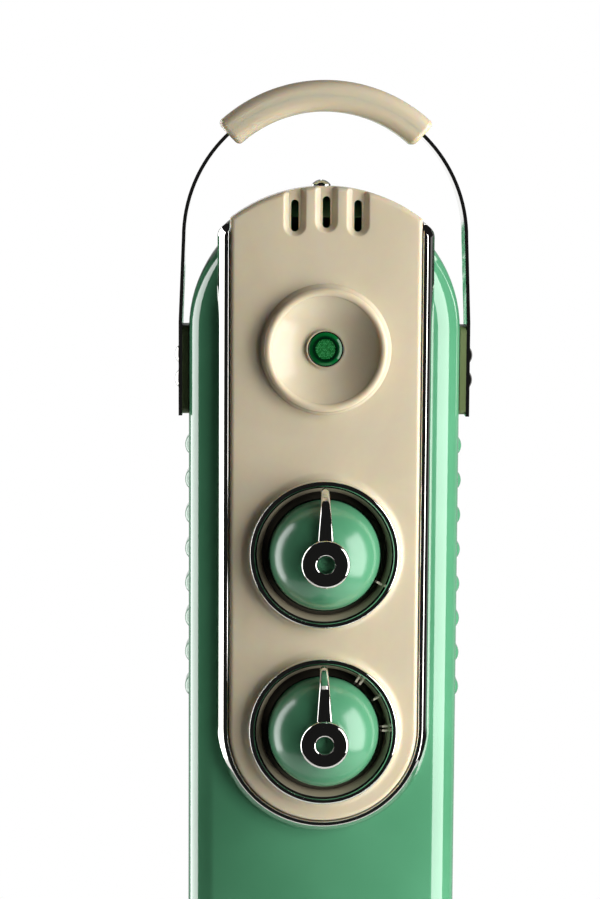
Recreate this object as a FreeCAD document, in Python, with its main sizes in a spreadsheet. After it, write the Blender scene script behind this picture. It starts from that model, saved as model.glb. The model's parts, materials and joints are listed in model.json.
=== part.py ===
import FreeCAD, Part
import math
import os
import Sketcher

# Oil-filled radiator: finned body, arched control box in front, handle over it, four castors.
# Millimetres, Z up, the control panel faces -Y, the origin is on the floor under the middle.

doc = FreeCAD.newDocument("oil_filled_radiator")

# Driving sizes
SIZES = {
    "cover_width": 153,
    "cover_bottom": 62,
    "arch_height": 511,
    "cover_depth": 62,
    "cover_wall": 1.2,
    "cover_edge": 24,
    "cover_nose": 1.55,
    "cover_corner": 28,
    "louvre_count": 8,
    "louvre_drop": 18.5,
    "louvre_pitch": 20,
    "louvre_radius": 7.4,
    "louvre_sink": 5.1,
    "louvre_length": 30,
    "louvre_setback": 38,
    "panel_width": 106,
    "panel_rise": 10,
    "panel_wall": 3,
    "panel_lip": 30,
    "panel_edge": 3,
    "crown_rise": 4.3,
    "crown_radius": 87.5,
    "seat_gap": 0.1,
    "trim_gap": 0.4,
    "trim_width": 7,
    "trim_rise": 9,
    "trim_shoulder": 2.6,
    "trim_slant": 32,
    "trim_crest_round": 1,
    "trim_end_round": 7,
    "vent_pitch": 17.4,
    "vent_width": 4.3,
    "vent_length": 17.5,
    "vent_drop": 16.3,
    "vent_step": 2,
    "vent_recess_width": 12,
    "vent_recess_depth": 3.6,
    "vent_recess_slope": 38,
    "vent_soft_edge": 1.6,
    "dish_drop": 89.8,
    "dish_rim_radius": 29.75,
    "dish_rim_width": 6.65,
    "dish_rise": 5,
    "dish_depth": 5.5,
    "lamp_barrel_radius": 8.3,
    "lamp_flange": 2.2,
    "dial_drop": 114,
    "dial_pitch": 100,
    "dial_floor": 2.5,
    "collar_flare": 4.3,
    "collar_top": 1.5,
    "bezel_lip": 1.5,
    "bezel_wall": 5.2,
    "bezel_height": 2.8,
    "plate_margin": 3.8,
    "plate_thickness": 1.5,
    "scale_gap": 0.4,
    "scale_crest": 0.4,
    "scale_rise": 5.6,
    "knob_radius": 31,
    "knob_skirt": 4.1,
    "knob_wall": 2.5,
    "shaft_radius": 3,
    "shaft_gap": 0.05,
    "pointer_gap": 0.1,
    "hub_radius": 13.25,
    "hub_hole_radius": 4.7,
    "hub_height": 6.5,
    "hub_round": 2.2,
    "hub_hole_round": 1.5,
    "finger_overhang": 7,
    "finger_thickness": 4.4,
    "finger_curve": 45,
    "finger_taper": 4.5,
    "finger_tip_width": 4.8,
    "finger_tip_thickness": 2.6,
    "finger_round": 1.4,
    "strap_width": 25,
    "strap_thickness": 2,
    "strap_overlap": 1,
    "strap_run": 2,
    "hand_room": 41.2,
    "handle_lean": 1.8,
    "handle_setback": 32,
    "grip_thickness": 17.4,
    "grip_wall": 3,
    "grip_angle": 87,
    "pad_thickness": 3.7,
    "pad_height": 50,
    "pad_below": 26,
    "handle_screw_drop": 22,
    "handle_screw_pitch": 14,
    "handle_screw_radius": 2.5,
    "case_screw_radius": 2,
    "case_screw_setback": 14,
    "case_screw_shift": 2.6,
    "fin_count": 7,
    "fin_pitch": 40,
    "fin_inset": 2.5,
    "fin_bottom": 72,
    "fin_sheet": 1.6,
    "fin_corner": 34,
    "hem_thickness": 5,
    "channel_width": 32,
    "channel_thickness": 14,
    "channel_inset": 20,
    "header_face_radius": 24,
    "header_root_radius": 31,
    "header_bore_radius": 17,
    "cap_rise": 4,
    "back_wall": 1.5,
    "back_flange": 10,
    "tube_radius": 4,
    "tube_spacing": 13,
    "tube_length": 240,
    "gasket_thickness": 1,
    "flange_thickness": 4,
    "foot_width": 240,
    "foot_depth": 48,
    "foot_wall": 2.5,
    "foot_height": 12,
    "foot_slope": 22,
    "foot_shelf": 17,
    "bolt_radius": 3,
    "castor_inset": 15,
    "castor_trail": 15,
    "wheel_radius": 18,
    "wheel_width": 16,
    "wheel_gap": 1,
    "axle_radius": 3,
    "stem_radius": 5,
    "fork_cheek": 3,
    "fork_crown": 9,
    "fork_clearance": 0.5,
    "gland_bore_radius": 3.75,
    "gland_offset": 35,
}

sheet = doc.addObject("Spreadsheet::Sheet", "Sizes")
for row, (alias, number) in enumerate(SIZES.items(), start=1):
    sheet.set(f"A{row}", alias)
    sheet.set(f"B{row}", str(number))
    sheet.setAlias(f"B{row}", alias)
doc.recompute()


class Dim:
    """A length that knows its number and the sheet expression behind it."""

    def __init__(self, value, text):
        self.value = float(value)
        self.text = text

    def __add__(self, other):
        other = dim(other)
        return Dim(self.value + other.value, f"({self.text} + {other.text})")

    def __radd__(self, other):
        return dim(other) + self

    def __sub__(self, other):
        other = dim(other)
        return Dim(self.value - other.value, f"({self.text} - {other.text})")

    def __rsub__(self, other):
        return dim(other) - self

    def __mul__(self, other):
        other = dim(other)
        return Dim(self.value * other.value, f"({self.text} * {other.text})")

    def __rmul__(self, other):
        return dim(other) * self

    def __truediv__(self, other):
        other = dim(other)
        return Dim(self.value / other.value, f"({self.text} / {other.text})")

    def __neg__(self):
        return Dim(-self.value, f"(0 - {self.text})")


def dim(number):
    if isinstance(number, Dim):
        return number
    return Dim(number, f"({number})")


def size(alias):
    return Dim(sheet.get(alias), f"Sizes.{alias}")


def rise_of(radius, reach):
    """Height of a circle of this radius above its centre at a sideways reach."""
    radius = dim(radius)
    reach = dim(reach)
    value = math.sqrt(radius.value ** 2 - reach.value ** 2)
    return Dim(value, f"sqrt({radius.text} * {radius.text} - {reach.text} * {reach.text})")


# Document helpers
exports = []


def place(piece, x=0, y=0, z=0):
    for axis, distance in zip("xyz", (x, y, z)):
        piece.setExpression(f"Placement.Base.{axis}", dim(distance).text)


def new_body(name):
    return doc.addObject("PartDesign::Body", name)


def keep(piece, name):
    piece.Label = name
    exports.append(piece)
    return piece


def sketch(body, name, role, lift=0, at=(0, 0)):
    """Sketch on one of the body's origin planes, lifted along that plane's normal."""
    drawn = body.newObject("Sketcher::SketchObject", name)
    plane = next(item for item in body.Origin.OriginFeatures if item.Role == role)
    drawn.AttachmentSupport = [(plane, "")]
    drawn.MapMode = "FlatFace"
    for axis, distance in zip("xyz", (at[0], at[1], lift)):
        drawn.setExpression(f"AttachmentOffset.Base.{axis}", dim(distance).text)
    return drawn


def front_sketch(body, name, y=0, at=(0, 0)):
    """Sketch seen from the front: its x is X and its y is Z."""
    return sketch(body, name, "XZ_Plane", -dim(y), at)


def side_sketch(body, name, x=0, at=(0, 0)):
    """Sketch seen from the side: its x is Y and its y is Z."""
    return sketch(body, name, "YZ_Plane", x, at)


def plan_sketch(body, name, z=0, at=(0, 0)):
    """Sketch seen from above: its x is X and its y is Y."""
    return sketch(body, name, "XY_Plane", z, at)


def pin(drawn, geometry, point, axis, distance):
    """Hold one coordinate of a sketch point at a distance from the sketch's origin."""
    distance = dim(distance)
    if distance.text == "(0)":
        line = -2 if axis == "X" else -1
        drawn.addConstraint(Sketcher.Constraint("PointOnObject", geometry, point, line))
        return
    held = Sketcher.Constraint(f"Distance{axis}", -1, 1, geometry, point, distance.value)
    index = drawn.addConstraint(held)
    drawn.setExpression(f"Constraints[{index}]", distance.text)


def trace(drawn, corners, arcs=None, closed=True):
    """Outline through the corners. arcs gives, for a corner, the centre and turn of the arc that leaves it."""
    arcs = arcs or {}
    corners = [(dim(x), dim(y)) for x, y in corners]
    count = len(corners)
    pieces = []
    for index in range(count if closed else count - 1):
        start = FreeCAD.Vector(corners[index][0].value, corners[index][1].value, 0)
        following = corners[(index + 1) % count]
        end = FreeCAD.Vector(following[0].value, following[1].value, 0)
        if index not in arcs:
            line = drawn.addGeometry(Part.LineSegment(start, end), False)
            pieces.append((line, 1, 2))
            continue
        centre = FreeCAD.Vector(dim(arcs[index][0]).value, dim(arcs[index][1]).value, 0)
        anticlockwise = arcs[index][2] > 0
        first, last = (start, end) if anticlockwise else (end, start)
        angle_first = math.atan2(first.y - centre.y, first.x - centre.x)
        angle_last = math.atan2(last.y - centre.y, last.x - centre.x)
        if angle_last <= angle_first:
            angle_last += 2 * math.pi
        circle = Part.Circle(centre, FreeCAD.Vector(0, 0, 1), (start - centre).Length)
        arc = drawn.addGeometry(Part.ArcOfCircle(circle, angle_first, angle_last), False)
        pieces.append((arc, 1, 2) if anticlockwise else (arc, 2, 1))
    for index, (geometry, begin, finish) in enumerate(pieces):
        if closed or index + 1 < len(pieces):
            joined = pieces[(index + 1) % len(pieces)]
            drawn.addConstraint(Sketcher.Constraint("Coincident", geometry, finish, joined[0], joined[1]))
    ends = [(geometry, begin) for geometry, begin, finish in pieces]
    if not closed:
        ends.append((pieces[-1][0], pieces[-1][2]))
    for (geometry, point), (x, y) in zip(ends, corners):
        pin(drawn, geometry, point, "X", x)
        pin(drawn, geometry, point, "Y", y)
    for index, (centre_x, centre_y, turn) in arcs.items():
        following = corners[(index + 1) % count]
        wide = abs(following[0].value - corners[index][0].value)
        tall = abs(following[1].value - corners[index][1].value)
        if wide > tall:
            pin(drawn, pieces[index][0], 3, "Y", centre_y)
        else:
            pin(drawn, pieces[index][0], 3, "X", centre_x)


def ring(drawn, x, y, radius):
    radius = dim(radius)
    centre = FreeCAD.Vector(dim(x).value, dim(y).value, 0)
    geometry = drawn.addGeometry(Part.Circle(centre, FreeCAD.Vector(0, 0, 1), radius.value), False)
    pin(drawn, geometry, 3, "X", x)
    pin(drawn, geometry, 3, "Y", y)
    index = drawn.addConstraint(Sketcher.Constraint("Radius", geometry, radius.value))
    drawn.setExpression(f"Constraints[{index}]", radius.text)


def box_outline(drawn, x_low, y_low, x_high, y_high):
    trace(drawn, [(x_low, y_low), (x_high, y_low), (x_high, y_high), (x_low, y_high)])


def tombstone(drawn, half_width, bottom, arch, corner):
    """Arched outline: round top, straight sides, rounded bottom corners."""
    half_width, bottom, arch, corner = dim(half_width), dim(bottom), dim(arch), dim(corner)
    corners = [
        (corner - half_width, bottom),
        (half_width - corner, bottom),
        (half_width, bottom + corner),
        (half_width, arch),
        (-half_width, arch),
        (-half_width, bottom + corner),
    ]
    arcs = {
        1: (half_width - corner, bottom + corner, 1),
        3: (0, arch, 1),
        5: (corner - half_width, bottom + corner, 1),
    }
    trace(drawn, corners, arcs)


def upright_slot(drawn, x, bottom, top, radius):
    """Slot with a round lower and upper end, its straight sides upright."""
    x, bottom, top, radius = dim(x), dim(bottom), dim(top), dim(radius)
    corners = [
        (x - radius, bottom + radius),
        (x + radius, bottom + radius),
        (x + radius, top - radius),
        (x - radius, top - radius),
    ]
    trace(drawn, corners, {0: (x, bottom + radius, 1), 2: (x, top - radius, 1)})


def pad(body, drawn, length, back=False, both=False):
    feature = body.newObject("PartDesign::Pad", "Pad")
    feature.Profile = drawn
    feature.setExpression("Length", dim(length).text)
    feature.Reversed = back
    feature.SideType = "Symmetric" if both else "One side"
    return feature


def pocket(body, drawn, length, back=False, both=False):
    feature = body.newObject("PartDesign::Pocket", "Pocket")
    feature.Profile = drawn
    feature.setExpression("Length", dim(length).text)
    feature.Reversed = back
    feature.SideType = "Symmetric" if both else "One side"
    return feature


def revolve(body, drawn, axis):
    feature = body.newObject("PartDesign::Revolution", "Revolution")
    feature.Profile = drawn
    feature.ReferenceAxis = (drawn, [axis])
    feature.Angle = 360
    return feature


def groove(body, drawn, axis):
    feature = body.newObject("PartDesign::Groove", "Groove")
    feature.Profile = drawn
    feature.ReferenceAxis = (drawn, [axis])
    feature.Angle = 360
    return feature


def repeat_down(body, originals, count, pitch):
    """Copies of features at equal steps downwards."""
    feature = body.newObject("PartDesign::LinearPattern", "Row")
    feature.Originals = originals
    axis = next(item for item in body.Origin.OriginFeatures if item.Role == "Z_Axis")
    feature.Direction = (axis, [""])
    feature.Reversed = True
    feature.setExpression("Length", ((count - 1) * pitch).text)
    feature.setExpression("Occurrences", count.text)
    body.Tip = feature
    return feature


def round_edges(body, radius, chosen):
    """Fillet the edges of the body's present shape that the test picks."""
    doc.recompute()
    base = body.Tip
    names = [f"Edge{number}" for number, edge in enumerate(base.Shape.Edges, start=1) if chosen(edge)]
    feature = body.newObject("PartDesign::Fillet", "Fillet")
    feature.Base = (base, names)
    feature.setExpression("Radius", dim(radius).text)
    return feature


def in_plane(axis, distance, within=None):
    """Test for edges that lie in one plane, given as an axis letter and its distance."""
    distance = dim(distance).value

    def test(edge):
        box = edge.BoundBox
        low = getattr(box, f"{axis}Min")
        high = getattr(box, f"{axis}Max")
        flat = abs(low - distance) < 0.01 and abs(high - distance) < 0.01
        return flat and (within is None or within(edge))

    return test


def sweep(body, profile, path):
    feature = body.newObject("PartDesign::AdditivePipe", "Pipe")
    feature.Profile = profile
    feature.Spine = (path, [])
    return feature


def group(name, source, places, turn=None):
    """One node of equal pieces: copies of a finished piece at several places."""
    doc.recompute()
    solids = []
    for x, y, z in places:
        solid = source.Shape.copy()
        if turn:
            solid.rotate(FreeCAD.Vector(0, 0, 0), turn[0], turn[1](dim(x).value))
        solid.translate(FreeCAD.Vector(dim(x).value, dim(y).value, dim(z).value))
        solids.append(solid)
    feature = doc.addObject("Part::Feature", name)
    feature.Shape = Part.makeCompound(solids)
    return keep(feature, name)


def copy_at(name, source, x=0, y=0, z=0):
    """One more of a finished piece, at its own place."""
    doc.recompute()
    feature = doc.addObject("Part::Feature", name)
    feature.Shape = source.Shape.copy()
    place(feature, x, y, z)
    return keep(feature, name)


# Shared places
half_cover = size("cover_width") / 2
cover_top = size("arch_height") + half_cover
half_panel = size("panel_width") / 2
pointer_front = size("knob_radius") + size("knob_skirt") + size("hub_height") - 0.6
fin_stack = size("fin_count") * size("fin_pitch")
front_y = (size("panel_rise") + pointer_front - size("cover_depth") - fin_stack - size("cap_rise")) / 2
panel_y = front_y - size("panel_rise")
fins_y = front_y + size("cover_depth")
rear_y = fins_y + fin_stack
handle_y = front_y + size("handle_setback")
half_fin = half_cover - size("fin_inset")
channel_outer = half_fin - size("channel_inset")
header_top = size("arch_height") + channel_outer - size("channel_width") / 2
header_low = size("fin_bottom") + size("channel_inset") + size("channel_width") / 2
wall_inner = half_cover - size("cover_wall")
crown_height = cover_top + size("crown_rise")
top_screw_x = -size("case_screw_shift")
vent_height = crown_height - size("vent_drop")
dish_height = crown_height - size("dish_drop")
dish_radius = size("dish_rim_radius") + size("dish_rim_width")
lamp_radius = size("lamp_barrel_radius") + size("lamp_flange")
upper_dial = dish_height - size("dial_drop")
lower_dial = upper_dial - size("dial_pitch")
dials = {"thermostat": upper_dial, "selector": lower_dial}
plate_radius = size("knob_radius") + size("plate_margin")
bezel_seat = plate_radius + size("bezel_wall")
strap_inner = half_cover + size("pad_thickness")
strap_outer = strap_inner + size("strap_thickness")
handle_radius = strap_outer - size("handle_lean")
grip_middle = crown_height + size("hand_room") + size("grip_thickness") / 2
handle_height = grip_middle + size("strap_thickness") / 2 - handle_radius
screw_height = size("arch_height") - size("handle_screw_drop")
screw_rows = [
    screw_height + size("handle_screw_pitch") / 2,
    screw_height - size("handle_screw_pitch") / 2,
]
pad_bottom = screw_height - size("pad_below")
pad_top = pad_bottom + size("pad_height")
louvre_top = pad_bottom - size("louvre_drop")
foot_y = {
    "front": fins_y + size("fin_pitch"),
    "rear": rear_y - size("fin_pitch"),
}
half_foot = size("foot_width") / 2
half_spread = half_foot - size("castor_inset")


# Front cover: an arched steel pan, open at the back, with hooded louvres in its sides
def cover_block(name, grow, past=0):
    """Solid envelope of the front cover, grown by a gap, its front plane at y = 0.

    The rounded edge starts from a plane a little ahead of the front and is cut off flat there, which
    leaves the slight crease that the pressing has round its flat face.
    """
    block = new_body(name)
    front = -dim(grow)
    ahead = front - size("cover_nose")
    drawn = front_sketch(block, f"{name}_outline", ahead)
    tombstone(
        drawn,
        half_cover + grow,
        size("cover_bottom") - grow,
        size("arch_height"),
        size("cover_corner") + grow,
    )
    pad(block, drawn, size("cover_depth") + past - ahead, back=True)
    round_edges(block, size("cover_edge") + grow, in_plane("Y", ahead))
    drawn = front_sketch(block, f"{name}_face", front)
    margin = half_cover + grow + 5
    box_outline(drawn, -margin, size("cover_bottom") - grow - 5, margin, cover_top + grow + 5)
    pocket(block, drawn, size("cover_nose") + 5, back=True)
    return block


def take_away(body, tool):
    """Cut one body out of another."""
    doc.recompute()
    cut = body.newObject("PartDesign::Boolean", "Cut")
    cut.Type = "Cut"
    cut.addObject(tool)
    return cut


cover = cover_block("front_cover", dim(0.0))


def louvre_profile(drawn, radius, length):
    """Half of a capsule: a straight side with round ends, closed along the axis."""
    reach = length / 2
    trace(
        drawn,
        [(0, -reach), (radius, radius - reach), (radius, reach - radius), (0, reach)],
        {0: (0, radius - reach, 1), 2: (0, reach - radius, 1)},
    )


louvre_shell = size("louvre_radius") - size("cover_wall")
hoods = []
for side in (-1, 1):
    spot = (side * (half_cover - size("louvre_sink")), size("louvre_setback"))
    drawn = plan_sketch(cover, "louvre_hood", louvre_top, spot)
    louvre_profile(drawn, size("louvre_radius"), size("louvre_length"))
    hoods.append(revolve(cover, drawn, "V_Axis"))
repeat_down(cover, hoods, size("louvre_count"), size("louvre_pitch"))

take_away(cover, cover_block("cover_inside", -size("cover_wall"), 1))

slits = []
for side in (-1, 1):
    spot = (side * (half_cover - size("louvre_sink")), size("louvre_setback"))
    drawn = plan_sketch(cover, "louvre_hollow", louvre_top, spot)
    louvre_profile(drawn, louvre_shell, size("louvre_length") - 2 * size("cover_wall"))
    slits.append(groove(cover, drawn, "V_Axis"))
    drawn = plan_sketch(cover, "louvre_slit", louvre_top - size("louvre_radius"), spot)
    low = size("louvre_sink") + 0.3
    high = size("louvre_sink") + 1.9
    half_slit = size("louvre_length") / 4
    if side < 0:
        low, high = -high, -low
    box_outline(drawn, low, -half_slit, high, half_slit)
    slits.append(pocket(cover, drawn, size("louvre_radius"), back=True))
repeat_down(cover, slits, size("louvre_count"), size("louvre_pitch"))

bush_radius = size("shaft_radius") + 2
lamp_hole = size("lamp_barrel_radius") + 0.5
drawn = front_sketch(cover, "cover_front_holes", 0)
for height in dials.values():
    ring(drawn, 0, height, bush_radius + 0.2)
ring(drawn, 0, dish_height, lamp_hole)
half_window = size("vent_pitch") + size("vent_width")
window_low = vent_height - size("vent_length")
window_high = vent_height - 1
box_outline(drawn, -half_window, window_low, half_window, window_high)
pocket(cover, drawn, size("cover_edge"))

drawn = side_sketch(cover, "handle_screw_holes")
for height in screw_rows:
    ring(drawn, size("handle_setback"), height, size("handle_screw_radius") + 0.2)
pocket(cover, drawn, size("cover_width") + 20, both=True)

gland_neck = size("gland_bore_radius") + 2.25
base_screw_x = dim(40)
base_screw_y = size("cover_depth") - size("back_wall") - size("back_flange") / 2
drawn = plan_sketch(cover, "cover_base_holes", size("cover_bottom") - 1)
ring(drawn, size("gland_offset"), size("cover_depth") / 2, gland_neck + 0.1)
for side in (-1, 1):
    ring(drawn, side * base_screw_x, base_screw_y, size("case_screw_radius") + 0.1)
pocket(cover, drawn, size("cover_wall") + 2, back=True)

drawn = plan_sketch(cover, "cover_top_hole", cover_top + 1)
ring(drawn, top_screw_x, size("case_screw_setback"), size("case_screw_radius") + 0.1)
pocket(cover, drawn, size("cover_edge"))
place(cover, 0, front_y, 0)
keep(cover, "front_cover")

# Back plate of the control box: a flanged sheet inside the cover's open back
plate = new_body("back_plate")
plate_slack = dim(0.3)
drawn = front_sketch(plate, "plate_outline", size("cover_depth"))
tombstone(
    drawn,
    wall_inner - plate_slack,
    size("cover_bottom") + size("cover_wall") + plate_slack,
    size("arch_height"),
    size("cover_corner") - size("cover_wall") - plate_slack,
)
pad(plate, drawn, size("back_wall") + size("back_flange"))
drawn = front_sketch(plate, "plate_inside", size("cover_depth") - size("back_wall"))
tombstone(
    drawn,
    wall_inner - plate_slack - size("back_wall"),
    size("cover_bottom") + size("cover_wall") + plate_slack + size("back_wall"),
    size("arch_height"),
    size("cover_corner") - size("cover_wall") - plate_slack - size("back_wall"),
)
pocket(plate, drawn, size("back_flange") + 1, back=True)
stud_radius = dim(4)
drawn = front_sketch(plate, "plate_holes", size("cover_depth") - size("back_wall") - 1)
ring(drawn, 0, header_top, stud_radius + 0.3)
ring(drawn, 0, header_low, size("header_face_radius") + 2)
pocket(plate, drawn, size("back_wall") + 2)
drawn = plan_sketch(plate, "plate_base_holes", size("cover_bottom"))
for side in (-1, 1):
    ring(drawn, side * base_screw_x, base_screw_y, size("case_screw_radius") + 0.1)
pocket(plate, drawn, size("cover_wall") + size("back_wall") + 2, back=True)
place(plate, 0, front_y, 0)
keep(plate, "back_plate")


# Control panel: cream moulding with air slots, lamp dish and two dial wells
def shield(drawn, half_width, top_radius, top_height):
    """Outline of the panel: round bottom, upright sides, crowned top."""
    half_width = dim(half_width)
    centre = top_height - top_radius
    shoulder = centre + rise_of(top_radius, half_width)
    trace(
        drawn,
        [
            (-half_width, lower_dial),
            (half_width, lower_dial),
            (half_width, shoulder),
            (-half_width, shoulder),
        ],
        {0: (0, lower_dial, 1), 2: (0, centre, 1)},
    )


panel = new_body("control_panel")
front = -size("panel_rise")
drawn = front_sketch(panel, "panel_outline", front)
shield(drawn, half_panel, size("crown_radius"), crown_height)
pad(panel, drawn, size("panel_rise") + size("panel_lip"), back=True)
round_edges(panel, size("panel_edge"), in_plane("Y", front))
take_away(panel, cover_block("panel_seat", size("seat_gap")))

drawn = front_sketch(panel, "panel_inside", 0)
half_hollow = half_panel - size("panel_wall")
hollow_top = vent_height - size("vent_length")
trace(
    drawn,
    [
        (-half_hollow, lower_dial),
        (half_hollow, lower_dial),
        (half_hollow, hollow_top),
        (-half_hollow, hollow_top),
    ],
    {0: (0, lower_dial, 1)},
)
pocket(panel, drawn, size("panel_rise") - size("panel_wall"), back=True)

drawn = front_sketch(panel, "dish_opening", front - 1)
ring(drawn, 0, dish_height, dish_radius - 2)
pocket(panel, drawn, size("panel_wall") + 1.5)
drawn = side_sketch(panel, "dish_profile", 0, (0, dish_height))
crest = (size("dish_rim_width") - 2.1) / 2
crest_centre = size("dish_rim_radius") + crest
seat = front + size("dish_depth")
rim = front - size("dish_rise")
lamp_clear = lamp_radius + 0.7
bowl_span = seat * seat + lamp_clear * lamp_clear - rim * rim - size("dish_rim_radius") * size("dish_rim_radius")
bowl_centre = bowl_span / (2 * (seat - rim))
trace(
    drawn,
    [
        (front, dish_radius),
        (rim, crest_centre + crest),
        (rim, size("dish_rim_radius")),
        (seat, lamp_clear),
        (seat, size("lamp_barrel_radius") + 0.2),
        (seat + 2.5, size("lamp_barrel_radius") + 0.2),
        (front + size("panel_wall"), dish_radius - 3),
        (front + size("panel_wall"), dish_radius),
    ],
    {1: (rim, crest_centre, 1), 2: (bowl_centre, 0, -1)},
)
revolve(panel, drawn, "H_Axis")

well_radius = bezel_seat + 0.2
collar_radius = well_radius + size("collar_top")
flare_radius = collar_radius + size("collar_flare")
for kind, height in dials.items():
    drawn = front_sketch(panel, f"{kind}_opening", front - 1)
    ring(drawn, 0, height, flare_radius - 2)
    pocket(panel, drawn, size("panel_wall") + 1.5)
    drawn = side_sketch(panel, f"{kind}_well", 0, (0, height))
    trace(
        drawn,
        [
            (front + size("dial_floor"), bush_radius + 0.5),
            (front + size("dial_floor"), well_radius),
            (front - size("collar_flare"), well_radius),
            (front - size("collar_flare"), collar_radius),
            (front, flare_radius),
            (front + size("panel_wall"), flare_radius),
            (front + size("dial_floor") + size("panel_wall"), flare_radius - 2),
            (front + size("dial_floor") + size("panel_wall"), bush_radius + 0.5),
        ],
        {3: (front - size("collar_flare"), flare_radius, 1)},
    )
    revolve(panel, drawn, "H_Axis")

drawn = front_sketch(panel, "vent_recesses", front)
recess = size("vent_recess_width") / 2
margin = recess - size("vent_width") / 2
for step in (-1, 0, 1):
    lift = size("vent_step") if step == 0 else dim(0.0)
    x = step * size("vent_pitch")
    low = vent_height - size("vent_length") / 2 - margin + 1.5 + lift
    upright_slot(drawn, x, low, crown_height + 2 * recess, recess)
scoops = pocket(panel, drawn, size("vent_recess_depth"))
scoops.setExpression("TaperAngle", (-size("vent_recess_slope")).text)
scoop_floor = (vent_height - size("vent_length")).value


def scoop_edge(edge):
    """Long edges of the recesses, not the short ones along the crown."""
    box = edge.BoundBox
    return scoop_floor < box.ZMin < vent_height.value and box.XLength < 2 * recess.value + 0.1


round_edges(panel, size("vent_soft_edge"), in_plane("Y", front, scoop_edge))
drawn = front_sketch(panel, "vent_slots", front - 1)
for step in (-1, 0, 1):
    lift = size("vent_step") if step == 0 else dim(0.0)
    low = vent_height - size("vent_length") / 2 + lift
    upright_slot(drawn, step * size("vent_pitch"), low, low + size("vent_length"), size("vent_width") / 2)
pocket(panel, drawn, size("panel_rise") + size("cover_edge"))

drawn = plan_sketch(panel, "panel_screw_hole", crown_height + 1)
ring(drawn, top_screw_x, size("case_screw_setback"), size("case_screw_radius") + 0.1)
pocket(panel, drawn, size("cover_edge"))
place(panel, 0, front_y, 0)
keep(panel, "control_panel")

# Chrome moulding round the sides and bottom of the panel: its outer face slants up to a narrow crest
trim = new_body("panel_trim")
half_trim = half_panel + size("trim_width")
trim_front = -size("trim_rise")
trim_ledge = -size("trim_shoulder")
drawn = front_sketch(trim, "trim_outline", trim_ledge)
shield(drawn, half_trim, size("crown_radius"), crown_height - 1)
pad(trim, drawn, size("trim_shoulder") + size("panel_lip") - 1, back=True)
round_edges(trim, size("trim_end_round"), lambda edge: edge.BoundBox.YLength > 5
            and edge.BoundBox.ZMin > size("arch_height").value)
doc.recompute()
ledge = in_plane("Y", trim_ledge)
ledge_face = next(f"Face{number}" for number, face in enumerate(trim.Tip.Shape.Faces, start=1) if ledge(face))
slant = pad(trim, (trim.Tip, [ledge_face]), size("trim_rise") - size("trim_shoulder"))
slant.setExpression("TaperAngle", (-size("trim_slant")).text)
take_away(trim, cover_block("trim_seat", size("seat_gap")))
drawn = front_sketch(trim, "trim_inside", trim_front - 1)
half_inside = half_panel + size("trim_gap")
trace(
    drawn,
    [
        (-half_inside, lower_dial),
        (half_inside, lower_dial),
        (half_inside, crown_height + 10),
        (-half_inside, crown_height + 10),
    ],
    {0: (0, lower_dial, 1)},
)
pocket(trim, drawn, size("trim_rise") + size("panel_lip") + 5)
round_edges(trim, size("trim_crest_round"), in_plane("Y", trim_front))
place(trim, 0, front_y, 0)
keep(trim, "panel_trim")

# Case screws: domed heads, one through the panel's lip and two under the box
screw = new_body("case_screw")
drawn = front_sketch(screw, "case_screw_profile")
head_radius = size("case_screw_radius") * 2.65
head_rim = dim(0.8)
head_rise = dim(2.6)
head_curve = (head_radius * head_radius + head_rise * head_rise) / (2 * head_rise)
trace(
    drawn,
    [(0, -9), (size("case_screw_radius"), -9), (size("case_screw_radius"), 0), (head_radius, 0),
     (head_radius, head_rim), (0, head_rim + head_rise)],
    {4: (0, head_rim + head_rise - head_curve, 1)},
)
revolve(screw, drawn, "V_Axis")
doc.recompute()
drawn = plan_sketch(screw, "cross_slot", 4)
trace(
    drawn,
    [(0.5, 0.5), (0.5, 2.6), (-0.5, 2.6), (-0.5, 0.5), (-2.6, 0.5), (-2.6, -0.5),
     (-0.5, -0.5), (-0.5, -2.6), (0.5, -2.6), (0.5, -0.5), (2.6, -0.5), (2.6, 0.5)],
)
pocket(screw, drawn, 2.4)
doc.recompute()
screws = [screw.Shape.copy() for count in range(3)]
top_screw_y = front_y + size("case_screw_setback")
screws[0].translate(FreeCAD.Vector(top_screw_x.value, top_screw_y.value, crown_height.value))
for solid, side in zip(screws[1:], (-1, 1)):
    solid.rotate(FreeCAD.Vector(0, 0, 0), FreeCAD.Vector(1, 0, 0), 180)
    solid.translate(
        FreeCAD.Vector(side * base_screw_x.value, (front_y + base_screw_y).value, size("cover_bottom").value)
    )
case_screws = doc.addObject("Part::Feature", "case_screws")
case_screws.Shape = Part.makeCompound(screws)
keep(case_screws, "case_screws")

# Pilot lamp in the dish: chrome bezel with its barrel, green lens, lamp holder behind
lamp_place = (0, front_y + seat, dish_height)
lamp_bezel = new_body("lamp_bezel")
drawn = side_sketch(lamp_bezel, "lamp_bezel_profile")
lens_radius = lamp_radius - 1.25
barrel = size("lamp_barrel_radius")
trace(
    drawn,
    [(-2.9, lens_radius + 0.05), (-2.9, lamp_radius - 0.6), (-2.1, lamp_radius),
     (0, lamp_radius), (0, barrel), (15, barrel), (15, barrel - 1.1),
     (-0.7, barrel - 1.1), (-0.7, lens_radius + 0.05)],
)
revolve(lamp_bezel, drawn, "H_Axis")
place(lamp_bezel, *lamp_place)
keep(lamp_bezel, "lamp_bezel")

lamp_lens = new_body("lamp_lens")
drawn = side_sketch(lamp_lens, "lamp_lens_profile")
trace(
    drawn,
    [(-0.7, 0), (-2.9, 0), (-2.9, 5.75), (-3.7, 5.95), (-3.7, 7.4), (-2.7, lens_radius), (-0.7, lens_radius)],
)
revolve(lamp_lens, drawn, "H_Axis")
place(lamp_lens, *lamp_place)
keep(lamp_lens, "lamp_lens")

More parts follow.
